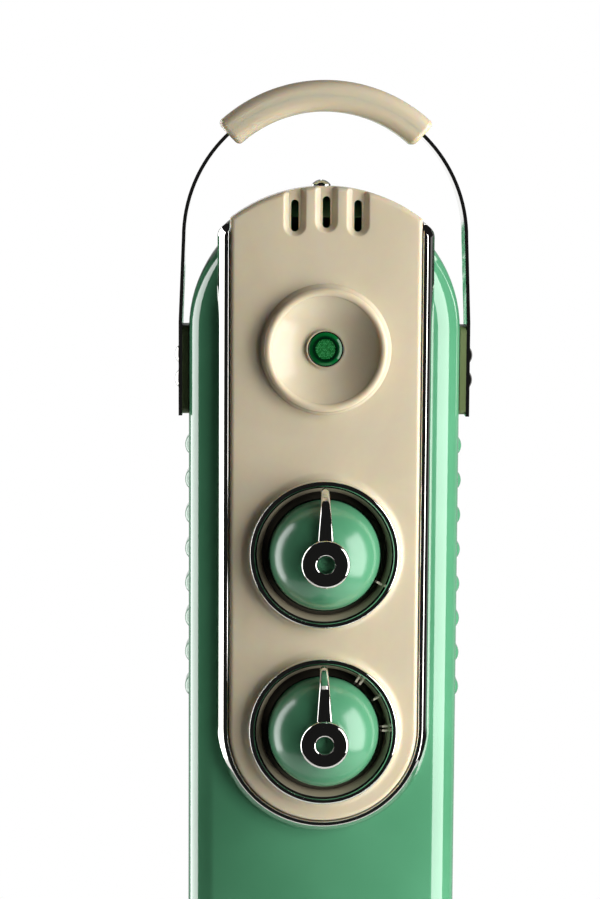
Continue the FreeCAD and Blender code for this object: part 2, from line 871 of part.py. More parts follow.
lamp_holder = new_body("lamp_holder")
drawn = side_sketch(lamp_holder, "lamp_holder_profile")
trace(drawn, [(1, 0), (1, barrel - 1.2), (16, barrel - 1.2), (18, barrel - 3), (24, barrel - 3), (24, 0)])
revolve(lamp_holder, drawn, "H_Axis")
place(lamp_holder, *lamp_place)
keep(lamp_holder, "lamp_holder")


# Dials: each well holds a chrome bezel, a mirror plate, a domed knob with its pointer, and a shaft
def dial_bezel(name, height):
    """Chrome rim: a rounded lip over the collar and a sloped inner wall down to the plate."""
    body = new_body(name)
    top = -size("collar_flare")
    lip = top - size("bezel_height")
    outer = bezel_seat + size("bezel_lip")
    inner = plate_radius + 0.2
    drawn = side_sketch(body, f"{name}_profile")
    trace(
        drawn,
        [
            (size("dial_floor"), inner),
            (size("dial_floor"), bezel_seat),
            (top, bezel_seat),
            (top, outer),
            (lip + 1.2, outer),
            (lip, outer - 1.2),
            (lip, outer - 2.2),
            (lip + 1, outer - 3.2),
            (size("dial_floor") - size("plate_thickness"), inner),
        ],
        {4: (lip + 1.2, outer - 1.2, 1), 6: (lip + 1, outer - 2.2, 1)},
    )
    revolve(body, drawn, "H_Axis")
    place(body, 0, panel_y, height)
    return keep(body, name)


def dial_plate(name, height):
    """Mirror-plated disc on the floor of the well, its scale ring sloping outwards from the knob."""
    body = new_body(name)
    drawn = side_sketch(body, f"{name}_profile")
    floor = size("dial_floor")
    face = floor - size("plate_thickness")
    hole = size("shaft_radius") + 0.4
    inside = size("knob_radius") + size("scale_gap")
    trace(
        drawn,
        [
            (floor, hole),
            (floor, plate_radius),
            (face, plate_radius),
            (face - size("scale_rise"), inside + size("scale_crest")),
            (face - size("scale_rise"), inside),
            (face, inside),
            (face, hole),
        ],
    )
    revolve(body, drawn, "H_Axis")
    place(body, 0, panel_y, height)
    return keep(body, name)


knob_base = size("dial_floor") - size("plate_thickness") - 0.4
dome_centre = knob_base - size("knob_skirt")
dome_top = dome_centre - size("knob_radius")
bore_end = dome_top + 10


def dial_knob(name, height):
    """Hollow dome with a short skirt and a boss for the shaft."""
    body = new_body(name)
    drawn = side_sketch(body, f"{name}_profile")
    radius = size("knob_radius")
    hollow = radius - size("knob_wall")
    bore = size("shaft_radius") + size("shaft_gap")
    boss = bore + 3.4
    trace(
        drawn,
        [
            (knob_base, radius),
            (dome_centre, radius),
            (dome_top, 0),
            (bore_end, 0),
            (bore_end, bore),
            (knob_base - 1, bore),
            (knob_base - 1, boss),
            (dome_centre - rise_of(hollow, boss), boss),
            (dome_centre, hollow),
            (knob_base, hollow),
        ],
        {1: (dome_centre, 0, 1), 7: (dome_centre, 0, -1)},
    )
    revolve(body, drawn, "H_Axis")
    place(body, 0, panel_y, height)
    return keep(body, name)


def arc_centre(first, last, radius):
    """Centre of the arc of this radius through two points of a side sketch, on its lower rear side."""
    half_y = (last[0] - first[0]) / 2
    half_z = (last[1] - first[1]) / 2
    square = half_y * half_y + half_z * half_z
    value = math.sqrt(radius.value ** 2 / square.value - 1)
    stretch = Dim(value, f"sqrt({radius.text} * {radius.text} / {square.text} - 1)")
    return first[0] + half_y + half_z * stretch, first[1] + half_z - half_y * stretch


def dial_pointer(name, height):
    """Chrome pointer: a ring on top of the dome and a tapered finger that curves over its side."""
    body = new_body(name)
    low = size("knob_radius") + 0.6
    high = low + size("finger_thickness")
    start = size("hub_radius") - 4
    reach = size("knob_radius") + size("finger_overhang")
    beyond = reach + 1
    lip = -size("collar_flare") - size("bezel_height") - 1.4
    bend = lip - 5
    outer_root = (dome_centre - rise_of(high, start), start)
    outer_tip = (lip - size("finger_tip_thickness"), beyond)
    curve_y, curve_z = arc_centre(outer_root, outer_tip, size("finger_curve"))
    drawn = side_sketch(body, "finger_side")
    trace(
        drawn,
        [
            (dome_centre - rise_of(low, start), start),
            (bend, rise_of(low, dome_centre - bend)),
            (lip, beyond),
            outer_tip,
            outer_root,
        ],
        {0: (dome_centre, 0, -1), 3: (curve_y, curve_z, 1)},
    )
    pad(body, drawn, 2 * start, both=True)
    drawn = front_sketch(body, "finger_plan", lip + 1)
    tip = size("finger_tip_width") / 2
    slope = math.radians(size("finger_taper").value)
    touch_x = Dim(tip.value * math.cos(slope), f"({tip.text} * cos(Sizes.finger_taper * 1deg))")
    touch_z = reach - tip + Dim(tip.value * math.sin(slope), f"({tip.text} * sin(Sizes.finger_taper * 1deg))")
    spread = Dim(math.tan(slope), "tan(Sizes.finger_taper * 1deg)")
    below = start - 1
    root_x = touch_x + (touch_z - below) * spread
    side = start + 2
    trace(
        drawn,
        [
            (root_x, below), (touch_x, touch_z), (-touch_x, touch_z), (-root_x, below),
            (-side, below), (-side, beyond + 1), (side, beyond + 1), (side, below),
        ],
        {1: (0, reach - tip, 1)},
    )
    pocket(body, drawn, high + size("knob_skirt") + 20, back=True)

    def outer_edge(edge):
        middle = edge.valueAt((edge.FirstParameter + edge.LastParameter) / 2)
        away = math.hypot(middle.y - curve_y.value, middle.z - curve_z.value)
        return edge.BoundBox.ZLength > 0.5 and abs(away - size("finger_curve").value) < 0.02

    round_edges(body, size("finger_round"), outer_edge)
    drawn = side_sketch(body, "hub_profile")
    hub = size("hub_radius")
    hole = size("hub_hole_radius")
    seat_radius = size("knob_radius") + size("pointer_gap")
    top = dome_top - size("hub_height")
    outer = size("hub_round")
    inner = size("hub_hole_round")
    trace(
        drawn,
        [
            (dome_centre - rise_of(seat_radius, hub), hub),
            (top + outer, hub),
            (top, hub - outer),
            (top, hole + inner),
            (top + inner, hole),
            (dome_centre - rise_of(seat_radius, hole), hole),
        ],
        {
            1: (top + outer, hub - outer, 1),
            3: (top + inner, hole + inner, 1),
            5: (dome_centre, 0, -1),
        },
    )
    revolve(body, drawn, "H_Axis")
    place(body, 0, panel_y, height)
    return keep(body, name)


shaft_back = size("panel_rise") + size("cover_wall") + 9


def dial_shaft(name, height):
    shaft = doc.addObject("Part::Cylinder", name)
    shaft.setExpression("Radius", size("shaft_radius").text)
    shaft.setExpression("Height", (shaft_back - bore_end - 0.2).text)
    shaft.Placement.Rotation = FreeCAD.Rotation(FreeCAD.Vector(1, 0, 0), -90)
    place(shaft, 0, panel_y + bore_end + 0.2, height)
    return keep(shaft, name)


def dial_switch(name, height, wide, deep, tall):
    """Switch or thermostat behind the cover, its bush through the cover's hole."""
    body = new_body(name)
    inner = size("panel_rise") + size("cover_wall")
    drawn = front_sketch(body, f"{name}_case", inner)
    box_outline(drawn, -dim(wide) / 2, -dim(tall) / 2, dim(wide) / 2, dim(tall) / 2)
    pad(body, drawn, deep, back=True)
    drawn = front_sketch(body, f"{name}_bush", inner)
    ring(drawn, 0, 0, bush_radius)
    pad(body, drawn, size("cover_wall") + 3)
    drawn = front_sketch(body, f"{name}_bore", size("panel_rise") - 4)
    ring(drawn, 0, 0, size("shaft_radius") + size("shaft_gap"))
    pocket(body, drawn, shaft_back - size("panel_rise") + 4.5)
    drawn = front_sketch(body, f"{name}_tabs", inner + deep)
    for side in (-1, 1):
        x = side * dim(wide) / 4
        box_outline(drawn, x - 0.4, -6, x + 0.4, 0)
    pad(body, drawn, 7, back=True)
    place(body, 0, panel_y, height)
    return keep(body, name)


for kind, height in dials.items():
    dial_bezel(f"{kind}_bezel", height)
    dial_plate(f"{kind}_dial_plate", height)
    dial_knob(f"{kind}_knob", height)
    dial_pointer(f"{kind}_pointer", height)
    dial_shaft(f"{kind}_shaft", height)
dial_switch("thermostat_body", dials["thermostat"], 40, 24, 36)
dial_switch("selector_body", dials["selector"], 34, 28, 34)

# Handle: chrome strap over the box, cream grip in two halves, cream pads, domed screws with nuts
strap = new_body("handle_strap")
drawn = front_sketch(strap, "strap_outline", size("strap_width") / 2)
spring = handle_radius
spring_inner = spring - size("strap_thickness")
foot = pad_bottom - size("strap_overlap")
bend = pad_top + size("strap_run")
rise = handle_height
trace(
    drawn,
    [
        (strap_outer, foot), (strap_outer, bend), (spring, rise), (-spring, rise), (-strap_outer, bend),
        (-strap_outer, foot), (-strap_inner, foot), (-strap_inner, bend), (-spring_inner, rise),
        (spring_inner, rise), (strap_inner, bend), (strap_inner, foot),
    ],
    {2: (0, rise, 1), 8: (0, rise, -1)},
)
pad(strap, drawn, size("strap_width"))
drawn = side_sketch(strap, "strap_holes")
for height in screw_rows:
    ring(drawn, 0, height, size("handle_screw_radius") + 0.1)
pocket(strap, drawn, size("cover_width") + 40, both=True)
place(strap, 0, handle_y, 0)
keep(strap, "handle_strap")

strap_middle = spring - size("strap_thickness") / 2
half_grip = size("strap_width") / 2 + size("grip_wall")
half_slot = size("strap_width") / 2 + 0.15
slot_depth = size("strap_thickness") / 2 + 0.1
grip_reach = size("grip_thickness") / 2


def grip_half(name, outward):
    """One half of the grip, turned about the handle's arch and split at the strap."""
    body = new_body(name)
    drawn = side_sketch(body, f"{name}_section")
    edge = strap_middle + outward * grip_reach
    slot = strap_middle + outward * slot_depth
    shoulder = edge - outward * 6
    turn = -1 if outward > 0 else 1
    trace(
        drawn,
        [
            (-half_grip, strap_middle),
            (-half_grip, shoulder),
            (6 - half_grip, edge),
            (half_grip - 6, edge),
            (half_grip, shoulder),
            (half_grip, strap_middle),
            (half_slot, strap_middle),
            (half_slot, slot),
            (-half_slot, slot),
            (-half_slot, strap_middle),
        ],
        {1: (6 - half_grip, shoulder, turn), 3: (half_grip - 6, shoulder, turn)},
    )
    feature = revolve(body, drawn, "H_Axis")
    feature.setExpression("Angle", size("grip_angle").text)
    feature.Midplane = True
    place(body, 0, handle_y, handle_height)
    return body


for name, outward in (("handle_grip_upper", 1), ("handle_grip_lower", -1)):
    half = grip_half(name, outward)

    def end_edge(edge, way=outward):
        centre = edge.CenterOfMass
        reach = math.hypot(centre.x, centre.z)
        middle = strap_middle.value
        beyond = reach > middle + 3 if way > 0 else reach < middle - 3
        at_end = abs(math.degrees(math.atan2(abs(centre.x), centre.z)) - size("grip_angle").value / 2) < 0.6
        return beyond and at_end

    round_edges(half, 3, end_edge)
    keep(half, name)

pads = new_body("handle_pad")
drawn = side_sketch(pads, "pad_outline")
half_pad = size("strap_width") / 2 + 0.5
box_outline(drawn, -half_pad, pad_bottom, half_pad, pad_top)
pad(pads, drawn, size("pad_thickness") - 2 * size("seat_gap"), both=True)
round_edges(pads, 4, lambda edge: edge.BoundBox.XLength > 1 and edge.BoundBox.ZLength < 0.01)
drawn = side_sketch(pads, "pad_holes")
for height in screw_rows:
    ring(drawn, 0, height, size("handle_screw_radius") + 0.1)
pocket(pads, drawn, 20, both=True)
pad_x = half_cover + size("pad_thickness") / 2
group("handle_pads", pads, [(-pad_x, handle_y, 0), (pad_x, handle_y, 0)])

handle_screw = new_body("handle_screw")
drawn = front_sketch(handle_screw, "handle_screw_profile")
bolt = size("handle_screw_radius")
shank = size("strap_thickness") + size("pad_thickness") + size("cover_wall") + 5
button_radius = bolt + 2.2
button_rim = dim(0.6)
button_rise = dim(1.8)
button_curve = (button_radius * button_radius + button_rise * button_rise) / (2 * button_rise)
trace(
    drawn,
    [(-shank, 0), (-shank, bolt), (0, bolt), (0, button_radius), (button_rim, button_radius),
     (button_rim + button_rise, 0)],
    {4: (button_rim + button_rise - button_curve, 0, -1)},
)
revolve(handle_screw, drawn, "H_Axis")
nut = new_body("handle_nut")
nut_face = bolt * 1.6
nut_corner = nut_face / math.cos(math.pi / 6)
drawn = side_sketch(nut, "nut_outline")
trace(
    drawn,
    [
        (0, nut_corner), (-nut_face, nut_corner / 2), (-nut_face, -nut_corner / 2),
        (0, -nut_corner), (nut_face, -nut_corner / 2), (nut_face, nut_corner / 2),
    ],
)
ring(drawn, 0, 0, bolt + 0.02)
pad(nut, drawn, 3.8, both=True)
mirror_x = (FreeCAD.Vector(0, 0, 1), lambda x: 180 if x < 0 else 0)
screw_spots = [(side * strap_outer, handle_y, height) for side in (-1, 1) for height in screw_rows]
nut_x = wall_inner - 1.9
nut_spots = [(side * nut_x, handle_y, height) for side in (-1, 1) for height in screw_rows]
group("handle_screws", handle_screw, screw_spots, mirror_x)
group("handle_nuts", nut, nut_spots)

# Fins: pressed panels with a rolled hem, a ring of oil channels and header bosses
fin = new_body("fin_1")
drawn = front_sketch(fin, "web_outline")
arch = size("arch_height")
tombstone(drawn, half_fin - 1, size("fin_bottom") + 1, arch, size("fin_corner") - 1)
pad(fin, drawn, size("fin_sheet"), both=True)
drawn = front_sketch(fin, "channel_outline")
inset = size("channel_inset")
channel_corner = size("fin_corner") - inset / 2
tombstone(drawn, channel_outer, size("fin_bottom") + inset, arch, channel_corner)
channel_inner = channel_outer - size("channel_width")
channel_floor = size("fin_bottom") + inset + size("channel_width")
tombstone(drawn, channel_inner, channel_floor, arch, channel_inner - 8)
pad(fin, drawn, size("channel_thickness"), both=True)
half_channel = size("channel_thickness") / 2
front_loop = in_plane("Y", -half_channel)
rear_loop = in_plane("Y", half_channel)
round_edges(fin, half_channel - 1, lambda edge: front_loop(edge) or rear_loop(edge))
drawn = front_sketch(fin, "hem_outline")
hem = size("hem_thickness")
tombstone(drawn, half_fin, size("fin_bottom"), arch, size("fin_corner"))
tombstone(drawn, half_fin - hem, size("fin_bottom") + hem, arch, size("fin_corner") - hem)
pad(fin, drawn, hem, both=True)
front_hem = in_plane("Y", -hem / 2)
rear_hem = in_plane("Y", hem / 2)
round_edges(fin, hem / 2 - size("fin_sheet") / 2 - 0.2, lambda edge: front_hem(edge) or rear_hem(edge))
half_pitch = size("fin_pitch") / 2
for height in (header_top, header_low):
    drawn = side_sketch(fin, "header_profile", 0, (0, height))
    root = size("header_root_radius")
    face = size("header_face_radius")
    bore = size("header_bore_radius")
    trace(
        drawn,
        [
            (-half_pitch, bore), (-half_pitch, face), (-half_channel, face),
            (1 - half_channel, root), (half_channel - 1, root), (half_channel, face),
            (half_pitch, face), (half_pitch, bore),
        ],
    )
    revolve(fin, drawn, "H_Axis")
drawn = front_sketch(fin, "header_bores")
for height in (header_top, header_low):
    ring(drawn, 0, height, size("header_bore_radius"))
pocket(fin, drawn, size("fin_pitch") + 2, both=True)
place(fin, 0, fins_y + half_pitch, 0)
keep(fin, "fin_1")
for number in range(2, int(size("fin_count").value) + 1):
    copy_at(f"fin_{number}", fin, 0, fins_y + half_pitch + (number - 1) * size("fin_pitch"), 0)

# Header ends: welded caps at the rear, a plug with a stud at the top front
plug_radius = size("header_bore_radius") - 0.05
cap = new_body("header_cap")
drawn = side_sketch(cap, "cap_profile")
trace(
    drawn,
    [(-6, 0), (-6, plug_radius), (0, plug_radius), (0, size("header_face_radius")),
     (size("cap_rise") - 1.5, size("header_face_radius")), (size("cap_rise"), size("header_face_radius") - 3),
     (size("cap_rise"), 0)],
)
revolve(cap, drawn, "H_Axis")
group("rear_header_caps", cap, [(0, rear_y, header_top), (0, rear_y, header_low)])

stud = new_body("header_stud")
drawn = side_sketch(stud, "stud_profile")
trace(
    drawn,
    [(-16, 0), (-16, stud_radius), (0, stud_radius), (0, plug_radius), (8, plug_radius), (8, 0)],
)
revolve(stud, drawn, "H_Axis")
place(stud, 0, fins_y, header_top)
keep(stud, "header_stud")

stud_nut = new_body("stud_nut")
drawn = front_sketch(stud_nut, "stud_nut_outline")
flat = dim(6.5)
corner = flat / math.cos(math.pi / 6)
trace(
    drawn,
    [(0, corner), (-flat, corner / 2), (-flat, -corner / 2), (0, -corner), (flat, -corner / 2),
     (flat, corner / 2)],
)
ring(drawn, 0, 0, stud_radius + 0.02)
pad(stud_nut, drawn, 6.5)
place(stud_nut, 0, fins_y - size("back_wall"), header_top)
keep(stud_nut, "stud_nut")

# Heater in the lower header: gasket, flange, two U-tubes and four terminals
gasket = new_body("heater_gasket")
drawn = side_sketch(gasket, "gasket_profile")
box_outline(drawn, -size("gasket_thickness"), plug_radius, 0, size("header_face_radius") - 1)
revolve(gasket, drawn, "H_Axis")
place(gasket, 0, fins_y, header_low)
keep(gasket, "heater_gasket")

flange_back = -size("gasket_thickness")
flange_front = flange_back - size("flange_thickness")
flange = new_body("heater_flange")
drawn = side_sketch(flange, "flange_profile")
box_outline(drawn, flange_front, 0, flange_back, size("header_face_radius") - 1)
revolve(flange, drawn, "H_Axis")
place(flange, 0, fins_y, header_low)
keep(flange, "heater_flange")

half_tube = size("tube_spacing") / 2
tube = new_body("heater_tube")
path = side_sketch(tube, "tube_path")
reach = size("tube_length")
trace(
    path,
    [(flange_back, -half_tube), (reach - half_tube, -half_tube), (reach - half_tube, half_tube),
     (flange_back, half_tube)],
    {1: (reach - half_tube, 0, 1)},
    closed=False,
)
drawn = front_sketch(tube, "tube_section", flange_back)
ring(drawn, 0, -half_tube, size("tube_radius"))
sweep(tube, drawn, path)
group("heater_tubes", tube, [(side * half_tube, fins_y, header_low) for side in (-1, 1)])

terminal = new_body("heater_terminal")
drawn = side_sketch(terminal, "terminal_profile")
trace(
    drawn,
    [(-15, 0), (-15, 1.8), (-5, 1.8), (-5, 3.2), (0, 3.2), (0, 0)],
)
revolve(terminal, drawn, "H_Axis")
terminal_spots = [
    (across * half_tube, fins_y + flange_front, header_low + upward * half_tube)
    for across in (-1, 1)
    for upward in (-1, 1)
]
group("heater_terminals", terminal, terminal_spots)

# Thermal cut-out on the back plate
cutout = new_body("thermal_cutout")
drawn = front_sketch(cutout, "cutout_flange")
trace(drawn, [(-13, -5), (13, -5), (13, 5), (-13, 5)])
pad(cutout, drawn, 1)
drawn = front_sketch(cutout, "cutout_can")
ring(drawn, 0, 0, 8)
pad(cutout, drawn, 8)
place(cutout, 34, fins_y - size("back_wall"), header_low + 50)
keep(cutout, "thermal_cutout")

# Wiring leads from the selector down to the heater terminals
lead = new_body("wiring_lead")
lead_gap = dim(24)
lead_top = lower_dial - 17
lead_y = front_y + size("cover_wall") + 20
lead_low = header_low + half_tube
lead_end = fins_y + flange_front - 15
path = side_sketch(lead, "lead_path")
bend_radius = dim(8)
trace(
    path,
    [(lead_y, lead_top), (lead_y, lead_low + bend_radius), (lead_y + bend_radius, lead_low), (lead_end, lead_low)],
    {1: (lead_y + bend_radius, lead_low + bend_radius, 1)},
    closed=False,
)
drawn = plan_sketch(lead, "lead_section", lead_top)
ring(drawn, 0, lead_y, 1.5)
sweep(lead, drawn, path)
group("wiring_leads", lead, [(side * half_tube, 0, 0) for side in (-1, 1)])

# Cord gland in the floor of the control box
gland = new_body("cord_gland")
drawn = front_sketch(gland, "gland_profile")
gland_bore = size("gland_bore_radius")
wall = size("cover_wall")
trace(
    drawn,
    [
        (gland_bore, -12), (gland_neck - 0.5, -12), (gland_neck + 1, -4), (gland_neck + 3, -4),
        (gland_neck + 3, 0), (gland_neck, 0), (gland_neck, wall), (gland_neck + 1.2, wall),
        (gland_neck, wall + 6), (gland_bore, wall + 6),
    ],
)
revolve(gland, drawn, "V_Axis")
place(gland, size("gland_offset"), front_y + size("cover_depth") / 2, size("cover_bottom"))
keep(gland, "cord_gland")

# Feet: inverted channels under the end fins, lower at their ends, with bosses for the castor stems
foot_wall = size("foot_wall")
slot_top = 2 * size("wheel_radius") + 1.5
end_low = slot_top + size("fork_crown") + size("fork_clearance")
end_high = end_low + size("foot_height")
middle_high = size("fin_bottom")
middle_low = middle_high - size("foot_height")
step_out = half_spread - size("foot_shelf")
step_in = step_out - size("foot_slope")
bolt_x = size("header_face_radius") + 0.3 + size("bolt_radius")
boss_radius = size("stem_radius") + 4


def build_foot(name, y):
    body = new_body(name)
    drawn = front_sketch(body, f"{name}_outline")
    upper = [(half_foot, end_low), (half_foot, end_high), (step_out, end_high), (step_in, middle_high)]
    lower = [(step_out + 4, end_low), (step_in + 4, middle_low)]
    corners = [(x, z) for x, z in upper]
    corners += [(-x, z) for x, z in reversed(upper)]
    corners += [(-x, z) for x, z in lower]
    corners += [(x, z) for x, z in reversed(lower)]
    trace(drawn, corners)
    pad(body, drawn, size("foot_depth"), both=True)
    round_edges(body, 18, lambda edge: abs(abs(edge.CenterOfMass.x) - half_foot.value) < 0.01
                and edge.BoundBox.ZLength > 2)
    drawn = front_sketch(body, f"{name}_hollow")
    inner = [(half_foot - foot_wall, end_low - 1), (half_foot - foot_wall, end_high - foot_wall),
             (step_out - 1, end_high - foot_wall), (step_in - 1, middle_high - foot_wall)]
    below = [(step_out + 4, end_low - 1), (step_in + 4, middle_low - 1)]
    corners = [(x, z) for x, z in inner]
    corners += [(-x, z) for x, z in reversed(inner)]
    corners += [(-x, z) for x, z in below]
    corners += [(x, z) for x, z in reversed(below)]
    trace(drawn, corners)
    pocket(body, drawn, size("foot_depth") - 2 * foot_wall, both=True)
    drawn = plan_sketch(body, f"{name}_bosses", end_low)
    for side in (-1, 1):
        ring(drawn, side * half_spread, 0, boss_radius)
    pad(body, drawn, size("foot_height") - foot_wall + 0.5)
    drawn = plan_sketch(body, f"{name}_stem_bores", end_low - 1)
    for side in (-1, 1):
        ring(drawn, side * half_spread, 0, size("stem_radius"))
    pocket(body, drawn, size("foot_height") - foot_wall + 1, back=True)
    drawn = plan_sketch(body, f"{name}_bolt_holes", middle_high + 1)
    for side in (-1, 1):
        ring(drawn, side * bolt_x, 0, size("bolt_radius") + 0.2)
    pocket(body, drawn, foot_wall + 3)
    place(body, 0, y, 0)
    return keep(body, name)


for end, y in foot_y.items():
    build_foot(f"{end}_foot", y)

# U-bolts over the lower headers, with wing nuts under the feet
nut_height = dim(7)
u_bolt = new_body("u_bolt")
bolt_low = middle_high - foot_wall - nut_height - 3
path = front_sketch(u_bolt, "bolt_path")
trace(
    path,
    [(bolt_x, bolt_low), (bolt_x, header_low), (-bolt_x, header_low), (-bolt_x, bolt_low)],
    {1: (0, header_low, 1)},
    closed=False,
)
drawn = plan_sketch(u_bolt, "bolt_section", bolt_low)
ring(drawn, bolt_x, 0, size("bolt_radius"))
sweep(u_bolt, drawn, path)
group("u_bolts", u_bolt, [(0, y, 0) for y in foot_y.values()])

wing_nut = new_body("wing_nut")
drawn = plan_sketch(wing_nut, "wing_nut_hub")
ring(drawn, 0, 0, size("bolt_radius") + 2.6)
ring(drawn, 0, 0, size("bolt_radius") + 0.02)
hub_pad = pad(wing_nut, drawn, nut_height)
hub_pad.Reversed = True
for side in (-1, 1):
    drawn = front_sketch(wing_nut, "wing_outline")
    near = side * (size("bolt_radius") + 1.5)
    far = side * (size("bolt_radius") + 11)
    trace(drawn, [(near, -nut_height + 1), (far, -nut_height - 4), (far, -3), (near, -1)])
    pad(wing_nut, drawn, 2.4, both=True)
nut_top = middle_high - foot_wall
group("wing_nuts", wing_nut, [(side * bolt_x, y, nut_top) for y in foot_y.values() for side in (-1, 1)])

# Castors: stem in the foot, fork that swivels on it, axle and wheel
castors = {
    "front_left": (-half_spread, foot_y["front"]),
    "front_right": (half_spread, foot_y["front"]),
    "rear_left": (-half_spread, foot_y["rear"]),
    "rear_right": (half_spread, foot_y["rear"]),
}
axle_height = size("wheel_radius")
trail = size("castor_trail")
fork_top = end_low - size("fork_clearance")
half_slot_width = size("wheel_width") / 2 + size("wheel_gap")
half_fork = half_slot_width + size("fork_cheek")

stem = doc.addObject("Part::Cylinder", "castor_stem")
stem.setExpression("Radius", (size("stem_radius") - 0.05).text)
stem.setExpression("Height", (size("foot_height") - foot_wall + end_low - slot_top - 1).text)
group("castor_stems", stem, [(x, y, slot_top + 1) for x, y in castors.values()])

fork = new_body("castor_fork")
drawn = side_sketch(fork, "fork_side")
hub_reach = size("stem_radius") + 6
trace(
    drawn,
    [
        (-hub_reach, fork_top), (-hub_reach, slot_top - 2), (trail - 8, axle_height - 5),
        (trail - 4, axle_height - 8), (trail + 4, axle_height - 8), (trail + 8, axle_height - 3),
        (trail + 6, slot_top - 4), (hub_reach, fork_top),
    ],
)
pad(fork, drawn, 2 * half_fork, both=True)
round_edges(fork, 2, lambda edge: abs(abs(edge.CenterOfMass.x) - half_fork.value) < 0.01)
drawn = side_sketch(fork, "wheel_slot")
box_outline(drawn, -hub_reach - 5, 0, trail + 30, slot_top)
pocket(fork, drawn, 2 * half_slot_width, both=True)
drawn = plan_sketch(fork, "stem_bore", fork_top + 1)
ring(drawn, 0, 0, size("stem_radius"))
pocket(fork, drawn, fork_top + 1 - slot_top - 0.5)
drawn = side_sketch(fork, "axle_holes")
ring(drawn, trail, axle_height, size("axle_radius"))
pocket(fork, drawn, 4 * half_fork, both=True)

axle = doc.addObject("Part::Cylinder", "castor_axle")
axle.setExpression("Radius", (size("axle_radius") - 0.02).text)
axle.setExpression("Height", (2 * half_fork).text)
axle.Placement.Rotation = FreeCAD.Rotation(FreeCAD.Vector(0, 1, 0), 90)
place(axle, -half_fork, trail, axle_height)

wheel = new_body("castor_wheel")
drawn = front_sketch(wheel, "wheel_profile")
half_wheel = size("wheel_width") / 2
rim = size("wheel_radius")
wheel_bore = size("axle_radius") + 0.08
trace(
    drawn,
    [
        (-half_wheel, wheel_bore), (-half_wheel, wheel_bore + 2.5), (3 - half_wheel, wheel_bore + 3.5),
        (3 - half_wheel, rim - 5), (-half_wheel, rim - 4), (-half_wheel, rim - 2), (2 - half_wheel, rim),
        (half_wheel - 2, rim), (half_wheel, rim - 2), (half_wheel, rim - 4), (half_wheel - 3, rim - 5),
        (half_wheel - 3, wheel_bore + 3.5), (half_wheel, wheel_bore + 2.5), (half_wheel, wheel_bore),
    ],
    {5: (2 - half_wheel, rim - 2, -1), 7: (half_wheel - 2, rim - 2, -1)},
)
revolve(wheel, drawn, "H_Axis")
for spot, (x, y) in castors.items():
    copy_at(f"castor_fork_{spot}", fork, x, y, 0)
    copy_at(f"castor_axle_{spot}", axle, x - half_fork, y + trail, axle_height)
    copy_at(f"castor_wheel_{spot}", wheel, x, y + trail, axle_height)

# Check and export
doc.recompute()
faults = []
for piece in doc.Objects:
    if "Invalid" in piece.State or "Error" in piece.State:
        faults.append(f"{piece.Label}: {piece.State}")
for piece in exports:
    if piece.Shape.isNull() or not piece.Shape.isValid() or not piece.Shape.Solids:
        faults.append(f"{piece.Label}: no valid solid")
if faults:
    raise RuntimeError("; ".join(faults))
os.makedirs("parts", exist_ok=True)
for piece in exports:
    piece.Shape.exportStep(f"parts/{piece.Label}.step")
print(len(exports), "pieces written")
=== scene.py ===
# %% [markdown]
# # Dressing an oil-filled radiator
# The solid parts of this heater come from its CAD model: a green steel control box with an arched
# top, a cream moulded panel with two domed dials, a chrome strap handle and the oil fins behind.
# This lesson gives every part the surface that the real one has, adds the small moulded and welded
# details that are too fine for the solids, and sets up a plain studio with the camera in front.

# %% Load the frame
import json
import math

import bmesh
import bpy
from mathutils import Matrix, Vector

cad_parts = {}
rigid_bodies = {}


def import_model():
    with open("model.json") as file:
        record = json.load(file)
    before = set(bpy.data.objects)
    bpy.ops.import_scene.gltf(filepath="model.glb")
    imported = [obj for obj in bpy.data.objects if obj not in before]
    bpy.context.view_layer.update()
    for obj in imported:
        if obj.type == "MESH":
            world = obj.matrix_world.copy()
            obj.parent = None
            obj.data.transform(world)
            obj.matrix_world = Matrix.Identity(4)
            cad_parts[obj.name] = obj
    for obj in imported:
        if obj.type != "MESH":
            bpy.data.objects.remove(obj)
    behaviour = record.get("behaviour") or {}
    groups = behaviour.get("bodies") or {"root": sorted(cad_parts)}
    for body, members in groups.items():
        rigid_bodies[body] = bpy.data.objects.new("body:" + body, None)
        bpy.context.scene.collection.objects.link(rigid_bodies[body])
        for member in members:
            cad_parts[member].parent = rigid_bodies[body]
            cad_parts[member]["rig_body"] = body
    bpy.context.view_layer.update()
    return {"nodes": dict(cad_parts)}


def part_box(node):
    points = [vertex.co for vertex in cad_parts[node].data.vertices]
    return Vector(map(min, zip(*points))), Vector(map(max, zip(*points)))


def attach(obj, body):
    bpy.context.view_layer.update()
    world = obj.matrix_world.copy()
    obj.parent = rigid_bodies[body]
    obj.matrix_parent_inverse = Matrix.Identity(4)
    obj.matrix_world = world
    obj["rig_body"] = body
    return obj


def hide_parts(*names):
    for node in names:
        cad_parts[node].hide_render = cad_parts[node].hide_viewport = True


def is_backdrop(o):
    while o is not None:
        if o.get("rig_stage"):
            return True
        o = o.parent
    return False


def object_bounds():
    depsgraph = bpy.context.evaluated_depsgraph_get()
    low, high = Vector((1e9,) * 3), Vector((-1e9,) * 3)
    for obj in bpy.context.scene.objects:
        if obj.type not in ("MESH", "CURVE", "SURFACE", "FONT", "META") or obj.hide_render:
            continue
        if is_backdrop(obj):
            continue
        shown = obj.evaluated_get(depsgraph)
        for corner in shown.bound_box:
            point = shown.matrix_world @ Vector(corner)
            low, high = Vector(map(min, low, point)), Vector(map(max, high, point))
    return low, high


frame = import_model()
nodes = frame["nodes"]
scene = bpy.context.scene
MM = 0.001

